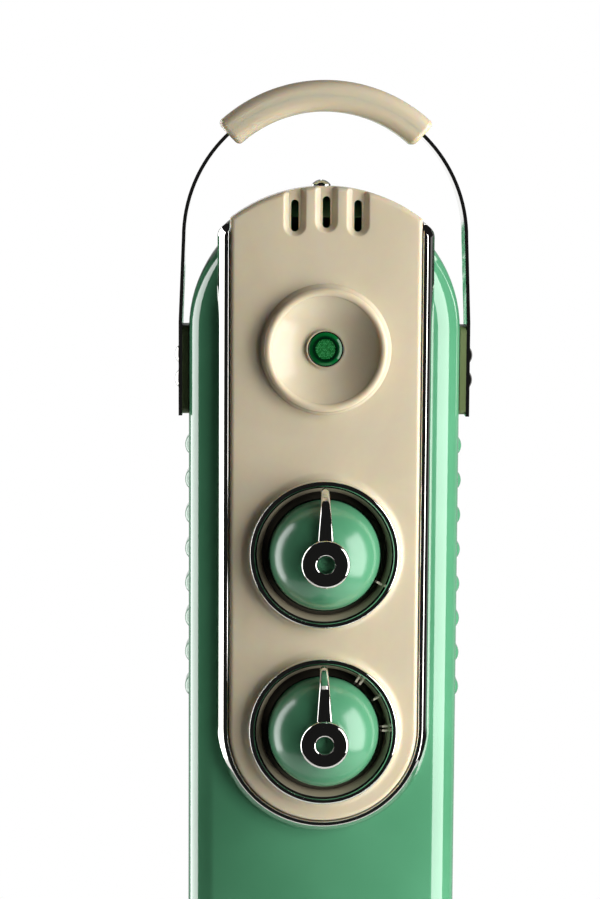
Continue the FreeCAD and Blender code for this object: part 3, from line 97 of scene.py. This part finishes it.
# %% [markdown]
# Three small tools are used all through the lesson. Colours are written as the sRGB hex values that a
# paint card would give, and one function turns them into the linear numbers that shaders work with.
# A second function adds one node to a tree, sets it and links it, so that each material below reads
# like a recipe. The same function serves the geometry trees further down. The third starts a material,
# and puts each value that is the same all over a surface straight on the shader's own socket.

# %% Colour and node tools


def linear(hex_colour):
    """Linear RGBA of an sRGB hex colour."""
    channels = [int(hex_colour[i : i + 2], 16) / 255 for i in (1, 3, 5)]
    return tuple(c / 12.92 if c <= 0.04045 else ((c + 0.055) / 1.055) ** 2.4 for c in channels) + (1.0,)


def add_node(tree, kind, inputs=None, stops=(), **settings):
    """Add a node: settings are its properties, inputs are values or the sockets that feed it.

    The stops of a colour ramp are pairs of a position and a hex colour.
    """
    node = tree.nodes.new(kind)
    for name, value in settings.items():
        setattr(node, name, value)
    for name, value in (inputs or {}).items():
        socket = node.inputs[name]
        if isinstance(value, bpy.types.NodeSocket):
            tree.links.new(value, socket)
        else:
            socket.default_value = value
    if stops:
        elements = node.color_ramp.elements
        while len(elements) < len(stops):
            elements.new(1.0)
        for element, (position, hex_colour) in zip(elements, stops):
            element.position = position
            element.color = linear(hex_colour)
    return node


def new_material(name, **constants):
    """A principled material whose even values are set on its own sockets; returns it with its parts."""
    material = bpy.data.materials.new(name)
    material.use_nodes = True
    tree = material.node_tree
    tree.nodes.clear()
    shader = add_node(tree, "ShaderNodeBsdfPrincipled")
    add_node(tree, "ShaderNodeOutputMaterial", {"Surface": shader.outputs["BSDF"]})
    for socket, value in constants.items():
        shader.inputs[socket.replace("_", " ")].default_value = value
    place = add_node(tree, "ShaderNodeTexCoord").outputs["Object"]
    return material, tree, shader, place


print("tools ready, mid green is", [round(c, 3) for c in linear("#4F8E69")[:3]])

# %% [markdown]
# Stove enamel on pressed steel: the cover and the fins are sprayed and baked, which leaves a glossy
# skin with a faint orange peel a few millimetres across and slow drifts in depth of colour. It could
# be one glossy shader, but a clear coat over a duller base is how the paint really works: the base
# gives the soft body colour and the coat gives the sharp edged bands of light along the rounded edges.

# %% Enamelled steel
# A skin's roughness wanders this far to either side of its usual value.
GLOSS_SPREAD = 0.04
# The drifts in the depth of a sprayed colour are about this far across.
DRIFT_SIZE = 70 * MM


def stove_enamel(name, deep, light, roughness, peel):
    """Baked gloss enamel on sheet steel; the orange peel's size is in millimetres."""
    material, tree, shader, place = new_material(
        name, IOR=1.5, Specular_IOR_Level=0.0, Coat_Weight=1.0, Coat_Roughness=0.06, Coat_IOR=1.8
    )
    drift = add_node(tree, "ShaderNodeTexNoise", {"Vector": place, "Scale": 1 / DRIFT_SIZE, "Detail": 3.0})
    drift = drift.outputs["Fac"]
    skin = add_node(tree, "ShaderNodeTexNoise", {"Vector": place, "Scale": 1 / (peel * MM), "Detail": 2.0})
    bump = add_node(tree, "ShaderNodeBump", {"Height": skin.outputs["Fac"], "Strength": 0.03,
                                             "Distance": 0.1 * MM})
    gloss = add_node(tree, "ShaderNodeMapRange", {"Value": drift, "To Min": roughness - GLOSS_SPREAD,
                                                  "To Max": roughness + GLOSS_SPREAD})
    tone = add_node(tree, "ShaderNodeValToRGB", {"Fac": drift}, [(0.35, deep), (0.65, light)])
    tree.links.new(tone.outputs["Color"], shader.inputs["Base Color"])
    tree.links.new(bump.outputs["Normal"], shader.inputs["Normal"])
    tree.links.new(bump.outputs["Normal"], shader.inputs["Coat Normal"])
    tree.links.new(gloss.outputs["Result"], shader.inputs["Roughness"])
    return material


# Mid green with a wet looking shine: bands of light have crisp edges, the flats stay deep.
green_enamel = stove_enamel("green_stove_enamel", "#4E8F69", "#559771", 0.36, 2.5)
# The feet take a thinner, darker spray, so they show less of the coat's shine.
foot_enamel = stove_enamel("dark_stove_enamel", "#2F5F45", "#34674B", 0.42, 1.8)
print(green_enamel.name, foot_enamel.name)

# %% [markdown]
# Moulded plastics: the panel and the grip are cream ABS from a polished tool, the handle's pads are cream
# plastic painted a dull olive as painted shade with the cover's green bounce in it, the two domes are
# green ABS, the forks and switch bodies are black nylon and the tyres rubber.
# What tells them apart is how tight their highlights are and how fine their grain is, so one recipe
# takes the two tones, the roughness and the grain. Flow marks show as slow clouds in the tone. The pale
# cream also lets light a few millimetres in, red furthest, which turns the edges of its shadows brown.

# %% Moulded plastics
# The clouds that the flow of the melt leaves are about this far across. The grain of the real tools is a few
# hundredths of a millimetre, too fine to show, so each plastic's is drawn about a millimetre across.
FLOW_SIZE = 45 * MM


def moulded_plastic(name, deep, light, roughness, grain, ior, **depth):
    """Injection-moulded plastic: cloudy flow tone and a fine grain, its size in millimetres.

    depth holds the values of a plastic that light sinks into.
    """
    material, tree, shader, place = new_material(name, IOR=ior, **depth)
    cloud = add_node(tree, "ShaderNodeTexNoise", {"Vector": place, "Scale": 1 / FLOW_SIZE, "Detail": 4.0,
                                                  "Distortion": 0.6})
    skin = add_node(tree, "ShaderNodeTexNoise", {"Vector": place, "Scale": 1 / (grain * MM), "Detail": 2.0})
    skin = skin.outputs["Fac"]
    bump = add_node(tree, "ShaderNodeBump", {"Height": skin, "Strength": 0.02, "Distance": 0.05 * MM})
    gloss = add_node(tree, "ShaderNodeMapRange", {"Value": skin, "To Min": roughness - GLOSS_SPREAD,
                                                  "To Max": roughness + GLOSS_SPREAD})
    tone = add_node(tree, "ShaderNodeValToRGB", {"Fac": cloud.outputs["Fac"]}, [(0.3, deep), (0.7, light)])
    tree.links.new(tone.outputs["Color"], shader.inputs["Base Color"])
    tree.links.new(bump.outputs["Normal"], shader.inputs["Normal"])
    tree.links.new(gloss.outputs["Result"], shader.inputs["Roughness"])
    return material


# Warm satin cream: broad soft highlights, and shadows that are warm because light sinks in about 4 mm.
cream_abs = moulded_plastic("cream_moulded_abs", "#D2C5AA", "#D8CCB2", 0.19, 1.4, 1.49, Subsurface_Weight=0.6,
                            Subsurface_Radius=(1.0, 0.5, 0.2), Subsurface_Scale=4 * MM)
# Polished green dome: the soft boxes show as bright patches with soft edges.
green_abs = moulded_plastic("green_polished_abs", "#4E8F69", "#559771", 0.22, 1.5, 1.68)
# The handle's pads: cream plastic painted a dull olive green, a painted shade with the cover's green bounce;
# hardly any shine.
pad_painted_shade = moulded_plastic("pad_cream_with_painted_green_shade", "#5F6A42", "#68744C", 0.45, 0.8, 1.53)
# Dull black with a fine sparkle from the spark-eroded tool.
black_nylon = moulded_plastic("black_moulded_nylon", "#161616", "#1E1E1D", 0.45, 0.7, 1.53)
# Matt black that greys a little where it is scuffed.
tyre_rubber = moulded_plastic("black_moulded_rubber", "#1A1A19", "#232322", 0.7, 0.5, 1.52)
print(cream_abs.name, green_abs.name, pad_painted_shade.name, black_nylon.name, tyre_rubber.name)

# %% [markdown]
# Bright chrome plate is close to a mirror: nearly all of its look is the studio that it reflects, dark
# in front and white behind. It could be a perfect mirror, but a faint haze in patches keeps it from
# looking like glass. The dials' plates are chrome too, with the dark room's reflection painted into a
# dark tone, and zinc plate and bare steel use the same recipe with a duller, greyer polish.

# %% Plated metals


def plated_metal(name, deep, light, smooth, rough, haze):
    """Plated metal with hazy patches (their size in millimetres) in its shine."""
    material, tree, shader, place = new_material(name, Metallic=1.0)
    patch = add_node(tree, "ShaderNodeTexNoise", {"Vector": place, "Scale": 1 / (haze * MM), "Detail": 5.0,
                                                  "Roughness": 0.6}).outputs["Fac"]
    shine = add_node(tree, "ShaderNodeMapRange", {"Value": patch, "From Min": 0.3, "From Max": 0.75,
                                                  "To Min": smooth, "To Max": rough})
    tone = add_node(tree, "ShaderNodeValToRGB", {"Fac": patch}, [(0.0, deep), (1.0, light)])
    tree.links.new(tone.outputs["Color"], shader.inputs["Base Color"])
    tree.links.new(shine.outputs["Result"], shader.inputs["Roughness"])
    return material, tree, shader, place


# Mirror bright, a little hazy in patches.
bright_chrome = plated_metal("bright_chrome_plate", "#DEDDD9", "#F1F0EC", 0.03, 0.08, 30.0)[0]
# Chrome with its reflection painted dark, so that the scale ring reads as a black line round each dome.
painted_dark_chrome = plated_metal("chrome_with_painted_dark_reflection", "#3C3C3E", "#4A4A4C", 0.04, 0.1, 20.0)[0]
# Grey satin with a slightly cloudy surface, as zinc leaves it.
zinc_steel = plated_metal("zinc_plated_steel", "#9C9D9C", "#BFC0BF", 0.28, 0.42, 8.0)[0]
# Dull grey-brown, as hot steel goes.
heater_steel = plated_metal("bare_heater_steel", "#6E6B66", "#8D8983", 0.35, 0.5, 6.0)[0]
print(bright_chrome.name, painted_dark_chrome.name, zinc_steel.name, heater_steel.name)

# %% [markdown]
# Each dial's rim is one chromed ring, but the slope inside its lip is lacquered a dull champagne so that
# the scale reads clearly. Two rings could carry the two finishes, but the real one is a single turning. So
# the change from lacquer to chrome follows the distance from the dial's middle, and one radius drives the
# tone, the metal and the polish together.

# %% Dial rims
# The lacquer ends at this radius, and the chrome is full this much further out.
LACQUER_RADIUS = 37.4 * MM
LACQUER_EDGE = 0.3 * MM


def lacquered_rim(name, node):
    """Chrome outside the lip's edge and satin champagne lacquer inside it."""
    low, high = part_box(node)
    middle = (low + high) / 2
    material, tree, shader, place = plated_metal(name, "#DEDDD9", "#F1F0EC", 0.03, 0.08, 30.0)
    chrome_tone = shader.inputs["Base Color"].links[0].from_socket
    chrome_polish = shader.inputs["Roughness"].links[0].from_socket
    centred = add_node(tree, "ShaderNodeMapping", {"Vector": place, "Location": (-middle.x, 0, -middle.z)})
    flat = add_node(tree, "ShaderNodeVectorMath", {0: centred.outputs["Vector"], 1: (1, 0, 1)},
                    operation="MULTIPLY")
    radius = add_node(tree, "ShaderNodeVectorMath", {0: flat.outputs["Vector"]}, operation="LENGTH")
    plated = add_node(tree, "ShaderNodeMapRange", {"Value": radius.outputs["Value"],
                                                   "From Min": LACQUER_RADIUS,
                                                   "From Max": LACQUER_RADIUS + LACQUER_EDGE})
    plated = plated.outputs["Result"]
    tone = add_node(tree, "ShaderNodeMix", {0: plated, 6: linear("#B5AA90"), 7: chrome_tone},
                    data_type="RGBA")
    polish = add_node(tree, "ShaderNodeMix", {0: plated, 2: 0.35, 3: chrome_polish})
    tree.links.new(tone.outputs[2], shader.inputs["Base Color"])
    tree.links.new(polish.outputs[0], shader.inputs["Roughness"])
    tree.links.new(plated, shader.inputs["Metallic"])
    return material


# Bright ring outside, dull warm slope inside.
thermostat_rim = lacquered_rim("thermostat_rim_chrome_and_lacquer", "thermostat_bezel")
selector_rim = lacquered_rim("selector_rim_chrome_and_lacquer", "selector_bezel")
print(thermostat_rim.name, selector_rim.name)

# %% [markdown]
# The legs of the U-bolts are threaded. A rolled thread is far too fine for a solid, so it is a wave in
# the surface: rings at a pitch of 1 mm up the leg, drawn as a bump on the same zinc. The wave texture
# runs through 20 radians for each unit of its scale, which is how the pitch becomes a scale.

# %% Threaded zinc
# Grey satin whose rings catch the light one by one.
thread_pitch = 1 * MM
thread_zinc, tree, shader, place = plated_metal("zinc_rolled_thread", "#8E8F8E", "#B4B5B4", 0.3, 0.42, 8.0)
wave = add_node(tree, "ShaderNodeTexWave", {"Vector": place, "Scale": 2 * math.pi / (20 * thread_pitch)},
                bands_direction="Z")
ridge = add_node(tree, "ShaderNodeBump", {"Height": wave.outputs["Fac"], "Strength": 0.8,
                                          "Distance": 0.4 * MM})
tree.links.new(ridge.outputs["Normal"], shader.inputs["Normal"])
print(thread_zinc.name, "pitch", thread_pitch / MM, "mm")

# %% [markdown]
# The lamp's lens is clear green acrylic: a smooth raised ring round a sunken disc that is moulded with
# small pips. The ring looks nearly black because its slopes send the dark room back, and the disc
# glows green because its pips scatter light. Clear plastic over a lit lamp could give this, but the lamp
# is off, so this light and shade are painted into the tone, which follows the distance from the lamp's
# middle: a painted glow on the disc, a painted dark reflection on the ring and a paler painted edge.

# %% Lens acrylic
# Deep bottle green with a wet shine. Its glowing disc, nearly black ring and paler edge are painted light and
# shade.
lens_reach = 10 * MM
lens_low, lens_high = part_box("lamp_lens")
lens_middle = (lens_low + lens_high) / 2
lens_painted_glow, tree, shader, place = new_material("green_lens_painted_glow_and_shade", Roughness=0.06, IOR=1.49,
                                                 Transmission_Weight=0.1)
centred = add_node(tree, "ShaderNodeMapping", {"Vector": place, "Scale": (1, 0, 1),
                                               "Location": (-lens_middle.x, 0, -lens_middle.z)})
radius = add_node(tree, "ShaderNodeVectorMath", {0: centred.outputs["Vector"]}, operation="LENGTH")
across = add_node(tree, "ShaderNodeMapRange", {"Value": radius.outputs["Value"], "From Max": lens_reach})
# The stops paint a glow on the disc, a dark reflection on the ring and light on the ring's outer edge.
tone = add_node(tree, "ShaderNodeValToRGB", {"Fac": across.outputs["Result"]},
                [(0.0, "#045C22"), (0.55, "#045C22"), (0.58, "#021A0C"), (0.7, "#032E15"), (0.82, "#0A6A30")])
tree.links.new(tone.outputs["Color"], shader.inputs["Base Color"])
print(lens_painted_glow.name, "middle at", [round(v, 4) for v in lens_middle])

# %% [markdown]
# A CAD node arrives as loose triangles, so its curves would look faceted. It could be modelled again, but
# a copy keeps every size. Each one is copied, its doubled corners are merged, its curved faces are shaded
# smooth and its true edges stay sharp. The copy then stands for the node and moves with the same body.

# %% Dress the CAD nodes
# Points closer than this are one corner, and edges that turn by more than this stay sharp.
MERGE = 0.002 * MM
CREASE = math.radians(32)


def dressed(node, material):
    """Smooth-shaded copy of a CAD node in its own material."""
    source = nodes[node]
    mesh = bpy.data.meshes.new(f"{node}_skin")
    bm = bmesh.new()
    bm.from_mesh(source.data)
    bmesh.ops.remove_doubles(bm, verts=bm.verts, dist=MERGE)
    for face in bm.faces:
        face.smooth = True
    for edge in bm.edges:
        edge.smooth = len(edge.link_faces) == 2 and edge.calc_face_angle(0.0) < CREASE
    bm.to_mesh(mesh)
    bm.free()
    mesh.materials.append(material)
    piece = bpy.data.objects.new(f"{node}_skin", mesh)
    scene.collection.objects.link(piece)
    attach(piece, source["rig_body"])
    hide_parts(node)
    return piece


ends = [f"{end}_{side}" for end in ("front", "rear") for side in ("left", "right")]
fins = [f"fin_{i}" for i in range(1, 8)]
finishes = [
    (green_enamel, "green_enamel", ["front_cover", "back_plate", "rear_header_caps"] + fins),
    (green_abs, "green_plastic", ["thermostat_knob", "selector_knob"]),
    (cream_abs, "cream_plastic", ["control_panel", "handle_grip_upper", "handle_grip_lower"]),
    (pad_painted_shade, "cream_plastic", ["handle_pads"]),
    (bright_chrome, "chrome_plate", ["panel_trim", "thermostat_pointer", "selector_pointer", "handle_strap",
                                     "handle_screws", "case_screws", "lamp_bezel"]),
    (painted_dark_chrome, "chrome_plate", ["thermostat_dial_plate", "selector_dial_plate"]),
    (thermostat_rim, "chrome_plate", ["thermostat_bezel"]),
    (selector_rim, "chrome_plate", ["selector_bezel"]),
    (zinc_steel, "zinc_steel", ["handle_nuts", "stud_nut", "header_stud", "heater_flange", "wing_nuts",
                                "castor_stems", "thermostat_shaft", "selector_shaft"]
     + [f"castor_axle_{end}" for end in ends]),
    (thread_zinc, "zinc_steel", ["u_bolts"]),
    (heater_steel, "heater_steel", ["heater_tubes", "heater_terminals", "thermal_cutout"]),
    (black_nylon, "black_plastic", ["thermostat_body", "selector_body", "lamp_holder", "cord_gland"]
     + [f"castor_fork_{end}" for end in ends]),
    (tyre_rubber, "black_rubber", ["heater_gasket", "wiring_leads"]
     + [f"castor_wheel_{end}" for end in ends]),
    (foot_enamel, "dark_enamel", ["front_foot", "rear_foot"]),
    (lens_painted_glow, "green_lens", ["lamp_lens"]),
]
skins = {}
for material, slot, members in finishes:
    for member in members:
        skins[member] = dressed(member, material)
print("dressed", len(skins), "nodes, left plain:", sorted(set(nodes) - set(skins)))

# %% [markdown]
# Details that repeat are grown with Geometry Nodes. Each tree starts from a seed mesh, whose points or
# line say where the detail goes, has named inputs for its sizes, and ends by making its instances real
# and giving them a material. The helper below sets the inputs, reads the finished shape and keeps it as
# a plain mesh, because nothing live should be left on a piece.

# %% Growing tools


def new_growth(name, *sizes):
    """An empty geometry tree with a seed input and named sizes; returns it with its input sockets."""
    tree = bpy.data.node_groups.new(name, "GeometryNodeTree")
    tree.interface.new_socket("Seed", in_out="INPUT", socket_type="NodeSocketGeometry")
    for size in sizes:
        tree.interface.new_socket(size, in_out="INPUT", socket_type="NodeSocketFloat")
    tree.interface.new_socket("Detail", in_out="OUTPUT", socket_type="NodeSocketGeometry")
    return tree, add_node(tree, "NodeGroupInput").outputs


def end_growth(tree, instances, material):
    """Close a tree: real geometry in its material."""
    solid = add_node(tree, "GeometryNodeRealizeInstances", {"Geometry": instances})
    painted = add_node(tree, "GeometryNodeSetMaterial", {"Geometry": solid.outputs["Geometry"],
                                                         "Material": material})
    add_node(tree, "NodeGroupOutput", {"Detail": painted.outputs["Geometry"]})


def grown(name, seed, tree, body, slot, **sizes):
    """Run a tree on a seed mesh and keep the result as a plain piece on a body."""
    start = bpy.data.objects.new(f"{name}_seed", seed)
    scene.collection.objects.link(start)
    modifier = start.modifiers.new(name, "NODES")
    modifier.node_group = tree
    for item in tree.interface.items_tree:
        if item.name in sizes:
            modifier[item.identifier] = sizes[item.name]
    mesh = bpy.data.meshes.new_from_object(start.evaluated_get(bpy.context.evaluated_depsgraph_get()))
    start.modifiers.remove(modifier)
    bpy.data.objects.remove(start)
    piece = bpy.data.objects.new(name, mesh)
    scene.collection.objects.link(piece)
    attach(piece, body)
    print(name, len(mesh.polygons), "faces on", body)
    return piece


print("growing tools ready")

# %% [markdown]
# The lens has a field of round pips about a millimetre apart, which break up the lamp's light. They
# could be a bump, but at this size each pip throws its own small highlight, so they are real domes set
# out in staggered rows, and those that would fall on the ring are dropped.

# %% Lens pips
# Paler green in uneven grains about a pip across: painted glints and a painted glow, so the disc looks
# frosted and lit from behind.
pip_acrylic, tree, shader, place = new_material("green_pip_painted_glints", Roughness=0.12, IOR=1.49)
painted_glints = add_node(tree, "ShaderNodeTexNoise", {"Vector": place, "Scale": 1 / (0.9 * MM), "Detail": 1.0})
tone = add_node(tree, "ShaderNodeValToRGB", {"Fac": painted_glints.outputs["Fac"]},
                [(0.35, "#0A6B2C"), (0.65, "#3BA75B")])
tree.links.new(tone.outputs["Color"], shader.inputs["Base Color"])
field = bpy.data.meshes.new("pip_field")
pip_pitch = 0.95 * MM
pip_reach = 5.3 * MM
disc_sink = 0.8 * MM
disc_y = lens_low.y + disc_sink
steps = range(-7, 8)
spots = []
for row in steps:
    for column in steps:
        x = (column + 0.5 * (row % 2)) * pip_pitch
        z = row * pip_pitch * math.sqrt(3) / 2
        if math.hypot(x, z) < pip_reach:
            spots.append((lens_middle.x + x, disc_y, lens_middle.z + z))
field.from_pydata(spots, [], [])
tree, given = new_growth("lens_pips", "Radius", "Height")
dome = add_node(tree, "GeometryNodeMeshUVSphere", {"Segments": 8, "Rings": 4, "Radius": 1.0})
shape = add_node(tree, "ShaderNodeCombineXYZ", {"X": given["Radius"], "Y": given["Height"],
                                                "Z": given["Radius"]})
pips = add_node(tree, "GeometryNodeInstanceOnPoints", {"Points": given["Seed"],
                                                       "Instance": dome.outputs["Mesh"],
                                                       "Scale": shape.outputs["Vector"]})
end_growth(tree, pips.outputs["Instances"], pip_acrylic)
lens_pips = grown("lens_pips", field, tree, "radiator", "green_lens", Radius=0.42 * MM, Height=0.35 * MM)

# %% [markdown]
# Short cream ribs bridge the groove between each dial's dark scale ring and its rim and show where the
# pointer goes: pairs and a single rib on the lower dial, an end stop on the upper one. They could be painted
# strokes, but paint would sink into the groove and not catch the light. So each rib is one point of the seed
# with its own turn, and the tree sets a small block there, square to the circle, whose ends are let into
# the ring's slope and the rim's.

# %% Scale strokes
# Pale matt cream, which stands out against the dark ring.
rib_abs = moulded_plastic("cream_matt_abs", "#DCD2BC", "#E4DBC8", 0.5, 0.4, 1.5)
groove_radius = 35.15 * MM
groove_sink = 3.5 * MM


def stroke_field(name, plate, degrees):
    """Seed points in a plate's groove, at turns clockwise from the top as seen from the front."""
    low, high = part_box(plate)
    middle = (low + high) / 2
    turns = [math.radians(angle) for angle in degrees]
    points = [(middle.x + groove_radius * math.sin(turn), low.y + groove_sink,
               middle.z + groove_radius * math.cos(turn)) for turn in turns]
    mesh = bpy.data.meshes.new(name)
    mesh.from_pydata(points, [], [])
    mesh.attributes.new("turn", "FLOAT", "POINT").data.foreach_set("value", turns)
    return mesh


tree, given = new_growth("scale_strokes", "Length", "Width", "Depth")
block_size = add_node(tree, "ShaderNodeCombineXYZ", {"X": given["Width"], "Y": given["Depth"],
                                                     "Z": given["Length"]})
block = add_node(tree, "GeometryNodeMeshCube", {"Size": block_size.outputs["Vector"]})
turn = add_node(tree, "GeometryNodeInputNamedAttribute", {"Name": "turn"}, data_type="FLOAT")
stand = add_node(tree, "ShaderNodeCombineXYZ", {"Y": turn.outputs["Attribute"]})
strokes = add_node(tree, "GeometryNodeInstanceOnPoints", {"Points": given["Seed"],
                                                          "Instance": block.outputs["Mesh"],
                                                          "Rotation": stand.outputs["Vector"]})
end_growth(tree, strokes.outputs["Instances"], rib_abs)
stroke = {"Length": 4.1 * MM, "Width": 1.1 * MM, "Depth": 3.0 * MM}
lower_field = stroke_field("lower_strokes", "selector_dial_plate", [33.2, 37.6, 58, 86, 90])
grown("selector_strokes", lower_field, tree, "radiator", "cream_plastic", **stroke)
upper_field = stroke_field("upper_strokes", "thermostat_dial_plate", [118])
grown("thermostat_strokes", upper_field, tree, "radiator", "cream_plastic", **stroke)

# %% [markdown]
# Each oil fin is two pressed sheets welded together round the rim, between the rolled hem and the oil
# channel. The welds leave a row of shallow spots under the paint. They could be a bump in the enamel, but
# a low dome is also there in the mesh. A line is drawn round each face of each fin and the tree sets a
# flat dome along it at an even pitch, so the row follows the arch.

# %% Fin spot welds


def arched_line(half_width, bottom, spring, corner, steps=16):
    """Points of an arched outline with rounded lower corners, as (x, z)."""
    line = []
    arcs = [(0, spring, half_width, 0, 180), (corner - half_width, bottom + corner, corner, 180, 270),
            (half_width - corner, bottom + corner, corner, 270, 360)]
    for x, z, radius, start, end in arcs:
        for step in range(steps + 1):
            angle = math.radians(start + (end - start) * step / steps)
            line.append((x + radius * math.cos(angle), z + radius * math.sin(angle)))
    return line


weld_inset = 12.5 * MM
weld_corner = 21.5 * MM
sheet_half = 0.8 * MM
points = []
edges = []
for fin in fins:
    low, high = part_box(fin)
    half_width = high.x - weld_inset
    line = arched_line(half_width, low.z + weld_inset, high.z - high.x, weld_corner)
    middle_y = (low.y + high.y) / 2
    for face_y in (middle_y - sheet_half, middle_y + sheet_half):
        first = len(points)
        points += [(x, face_y, z) for x, z in line]
        edges += [(first + i, first + (i + 1) % len(line)) for i in range(len(line))]
weld_lines = bpy.data.meshes.new("weld_lines")
weld_lines.from_pydata(points, edges, [])
tree, given = new_growth("fin_spot_welds", "Pitch", "Radius", "Rise")
line = add_node(tree, "GeometryNodeMeshToCurve", {"Mesh": given["Seed"]})
evenly = add_node(tree, "GeometryNodeResampleCurve", {"Curve": line.outputs["Curve"],
                                                      "Length": given["Pitch"]}, mode="LENGTH")
bead = add_node(tree, "GeometryNodeMeshUVSphere", {"Segments": 8, "Rings": 4, "Radius": 1.0})
shape = add_node(tree, "ShaderNodeCombineXYZ", {"X": given["Radius"], "Y": given["Rise"],
                                                "Z": given["Radius"]})
welds = add_node(tree, "GeometryNodeInstanceOnPoints", {"Points": evenly.outputs["Curve"],
                                                        "Instance": bead.outputs["Mesh"],
                                                        "Scale": shape.outputs["Vector"]})
end_growth(tree, welds.outputs["Instances"], green_enamel)
fin_welds = grown("fin_spot_welds", weld_lines, tree, "radiator", "green_enamel",
                  Pitch=18 * MM, Radius=2.0 * MM, Rise=0.35 * MM)
for detail in (lens_pips, fin_welds):
    for polygon in detail.data.polygons:
        polygon.use_smooth = True

# %% [markdown]
# The studio is a white cove with a dark room behind the camera, as product photographs are taken. The
# eye and clear plastic see plain white. A shiny surface sees white straight behind the heater, grey to the
# sides of that and a dark room from there to the camera, so chrome gets its black and white lines. Everything
# else gets a weak even fill, so the white never adds light.

# %% World
scene.view_settings.view_transform = "Standard"
world = bpy.data.worlds.new("white_cove")
scene.world = world
world.use_nodes = True
tree = world.node_tree
tree.nodes.clear()
rays = add_node(tree, "ShaderNodeLightPath").outputs
towards = add_node(tree, "ShaderNodeTexCoord").outputs["Generated"]
axis = add_node(tree, "ShaderNodeSeparateXYZ", {"Vector": towards})
room = add_node(tree, "ShaderNodeValToRGB", {"Fac": axis.outputs["Y"]},
                [(0.58, "#1B1B1B"), (0.74, "#959595"), (0.94, "#959595"), (1.0, "#FFFFFF")])
fill = 0.05
lit = add_node(tree, "ShaderNodeMix", {0: rays["Is Glossy Ray"], 2: fill, 3: room.outputs["Color"]})
direct = add_node(tree, "ShaderNodeMath", {0: rays["Is Camera Ray"], 1: rays["Is Transmission Ray"]},
                  operation="MAXIMUM")
level = add_node(tree, "ShaderNodeMix", {0: direct.outputs["Value"], 2: lit.outputs[0], 3: 1.0})
backdrop = add_node(tree, "ShaderNodeBackground", {"Color": (1, 1, 1, 1), "Strength": level.outputs[0]})
add_node(tree, "ShaderNodeOutputWorld", {"Surface": backdrop.outputs["Background"]})
print(world.name, "with a fill of", fill)

# %% [markdown]
# The floor is matt white card. More light could make it white all over, but that light would wash over the
# heater too. So close to the heater it takes light and shadow as card does, and further out it fades to
# the same white as the backdrop, and no horizon shows.

# %% Floor
floor_mesh = bpy.data.meshes.new("studio_floor")
reach = 0.5
fade_from, fade_to = 0.24, 0.46
rim = [math.radians(step * 5) for step in range(72)]
floor_mesh.from_pydata([(reach * math.cos(a), reach * math.sin(a), 0) for a in rim], [], [range(72)])
floor = bpy.data.objects.new("studio_floor", floor_mesh)
scene.collection.objects.link(floor)
# Matt white that takes soft shadows and has no shine.
floor_card, tree, shader, place = new_material("white_floor_card", Base_Color=linear("#F0F0EE"),
                                               Roughness=0.8)
distance = add_node(tree, "ShaderNodeVectorMath", {0: place}, operation="LENGTH")
fade = add_node(tree, "ShaderNodeMapRange", {"Value": distance.outputs["Value"], "From Min": fade_from,
                                             "From Max": fade_to})
white = add_node(tree, "ShaderNodeEmission", {"Color": (1, 1, 1, 1), "Strength": 1.0})
rays = add_node(tree, "ShaderNodeLightPath").outputs
shown = add_node(tree, "ShaderNodeMath", {0: fade.outputs["Result"], 1: rays["Is Camera Ray"]},
                 operation="MULTIPLY")
mix = add_node(tree, "ShaderNodeMixShader", {"Fac": shown.outputs["Value"], 1: shader.outputs["BSDF"],
                                             2: white.outputs["Emission"]})
output = next(node for node in tree.nodes if node.type == "OUTPUT_MATERIAL")
tree.links.new(mix.outputs["Shader"], output.inputs["Surface"])
floor_mesh.materials.append(floor_card)
floor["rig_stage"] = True
print("studio floor", reach * 2, "m wide")

# %% [markdown]
# Two soft boxes do the modelling. The large one stands on the right, level with the front, and draws
# the bright band on the right edge and the right side of each dome. The narrower one stands on the left
# and a little behind, and draws the thin bright band down the left edge. The third light is what a matt
# card to the right of the camera would bounce back: it softens the front and shows in no shiny surface.

# %% Lamps


def softbox(name, place, aim, width, height, watts):
    """A rectangular soft light at a place, turned to face a point."""
    light = bpy.data.lights.new(name, "AREA")
    light.shape = "RECTANGLE"
    light.size = width
    light.size_y = height
    light.energy = watts
    lamp = bpy.data.objects.new(name, light)
    lamp.location = place
    lamp.rotation_euler = (Vector(aim) - Vector(place)).to_track_quat("-Z", "Y").to_euler()
    lamp.visible_camera = False
    scene.collection.objects.link(lamp)
    return lamp


softbox("key_right", (0.91, -0.46, 0.42), (0.0, -0.19, 0.42), 0.77, 1.3, 15.5)
softbox("strip_left", (-0.71, 0.25, 0.46), (-0.05, -0.15, 0.46), 0.58, 1.3, 9.8)
bounce = softbox("bounce_front", (0.64, -0.76, 0.5), (0.0, -0.19, 0.42), 0.5, 1.2, 7.2)
bounce.visible_glossy = False
print("two soft boxes and a bounce card")

# %% [markdown]
# The camera stands about 1.4 m in front of the cover, a little below the handle and tipped down by
# seven degrees, as the photograph was taken. Its small turns follow the lean of the photograph.

# %% Camera
camera_data = bpy.data.cameras.new("front_camera")
camera_data.lens = 102.0
camera_data.sensor_width = 36.0
camera = bpy.data.objects.new("front_camera", camera_data)
camera_place = (-0.0347, -1.5609, 0.6105)
camera_turn, camera_tip, camera_lean = -0.85, 6.67, 0.34
camera.matrix_world = (
    Matrix.Translation(camera_place)
    @ Matrix.Rotation(math.radians(camera_turn), 4, "Z")
    @ Matrix.Rotation(math.radians(90 - camera_tip), 4, "X")
    @ Matrix.Rotation(math.radians(camera_lean), 4, "Z")
)
scene.collection.objects.link(camera)
scene.camera = camera
print("camera at", camera_place)

# %% [markdown]
# The dressed heater has to keep the size of its solids, so the box round everything that renders is
# printed at the end.

# %% Finish
low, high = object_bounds()
print("visual box:", [round(v, 4) for v in low], [round(v, 4) for v in high])
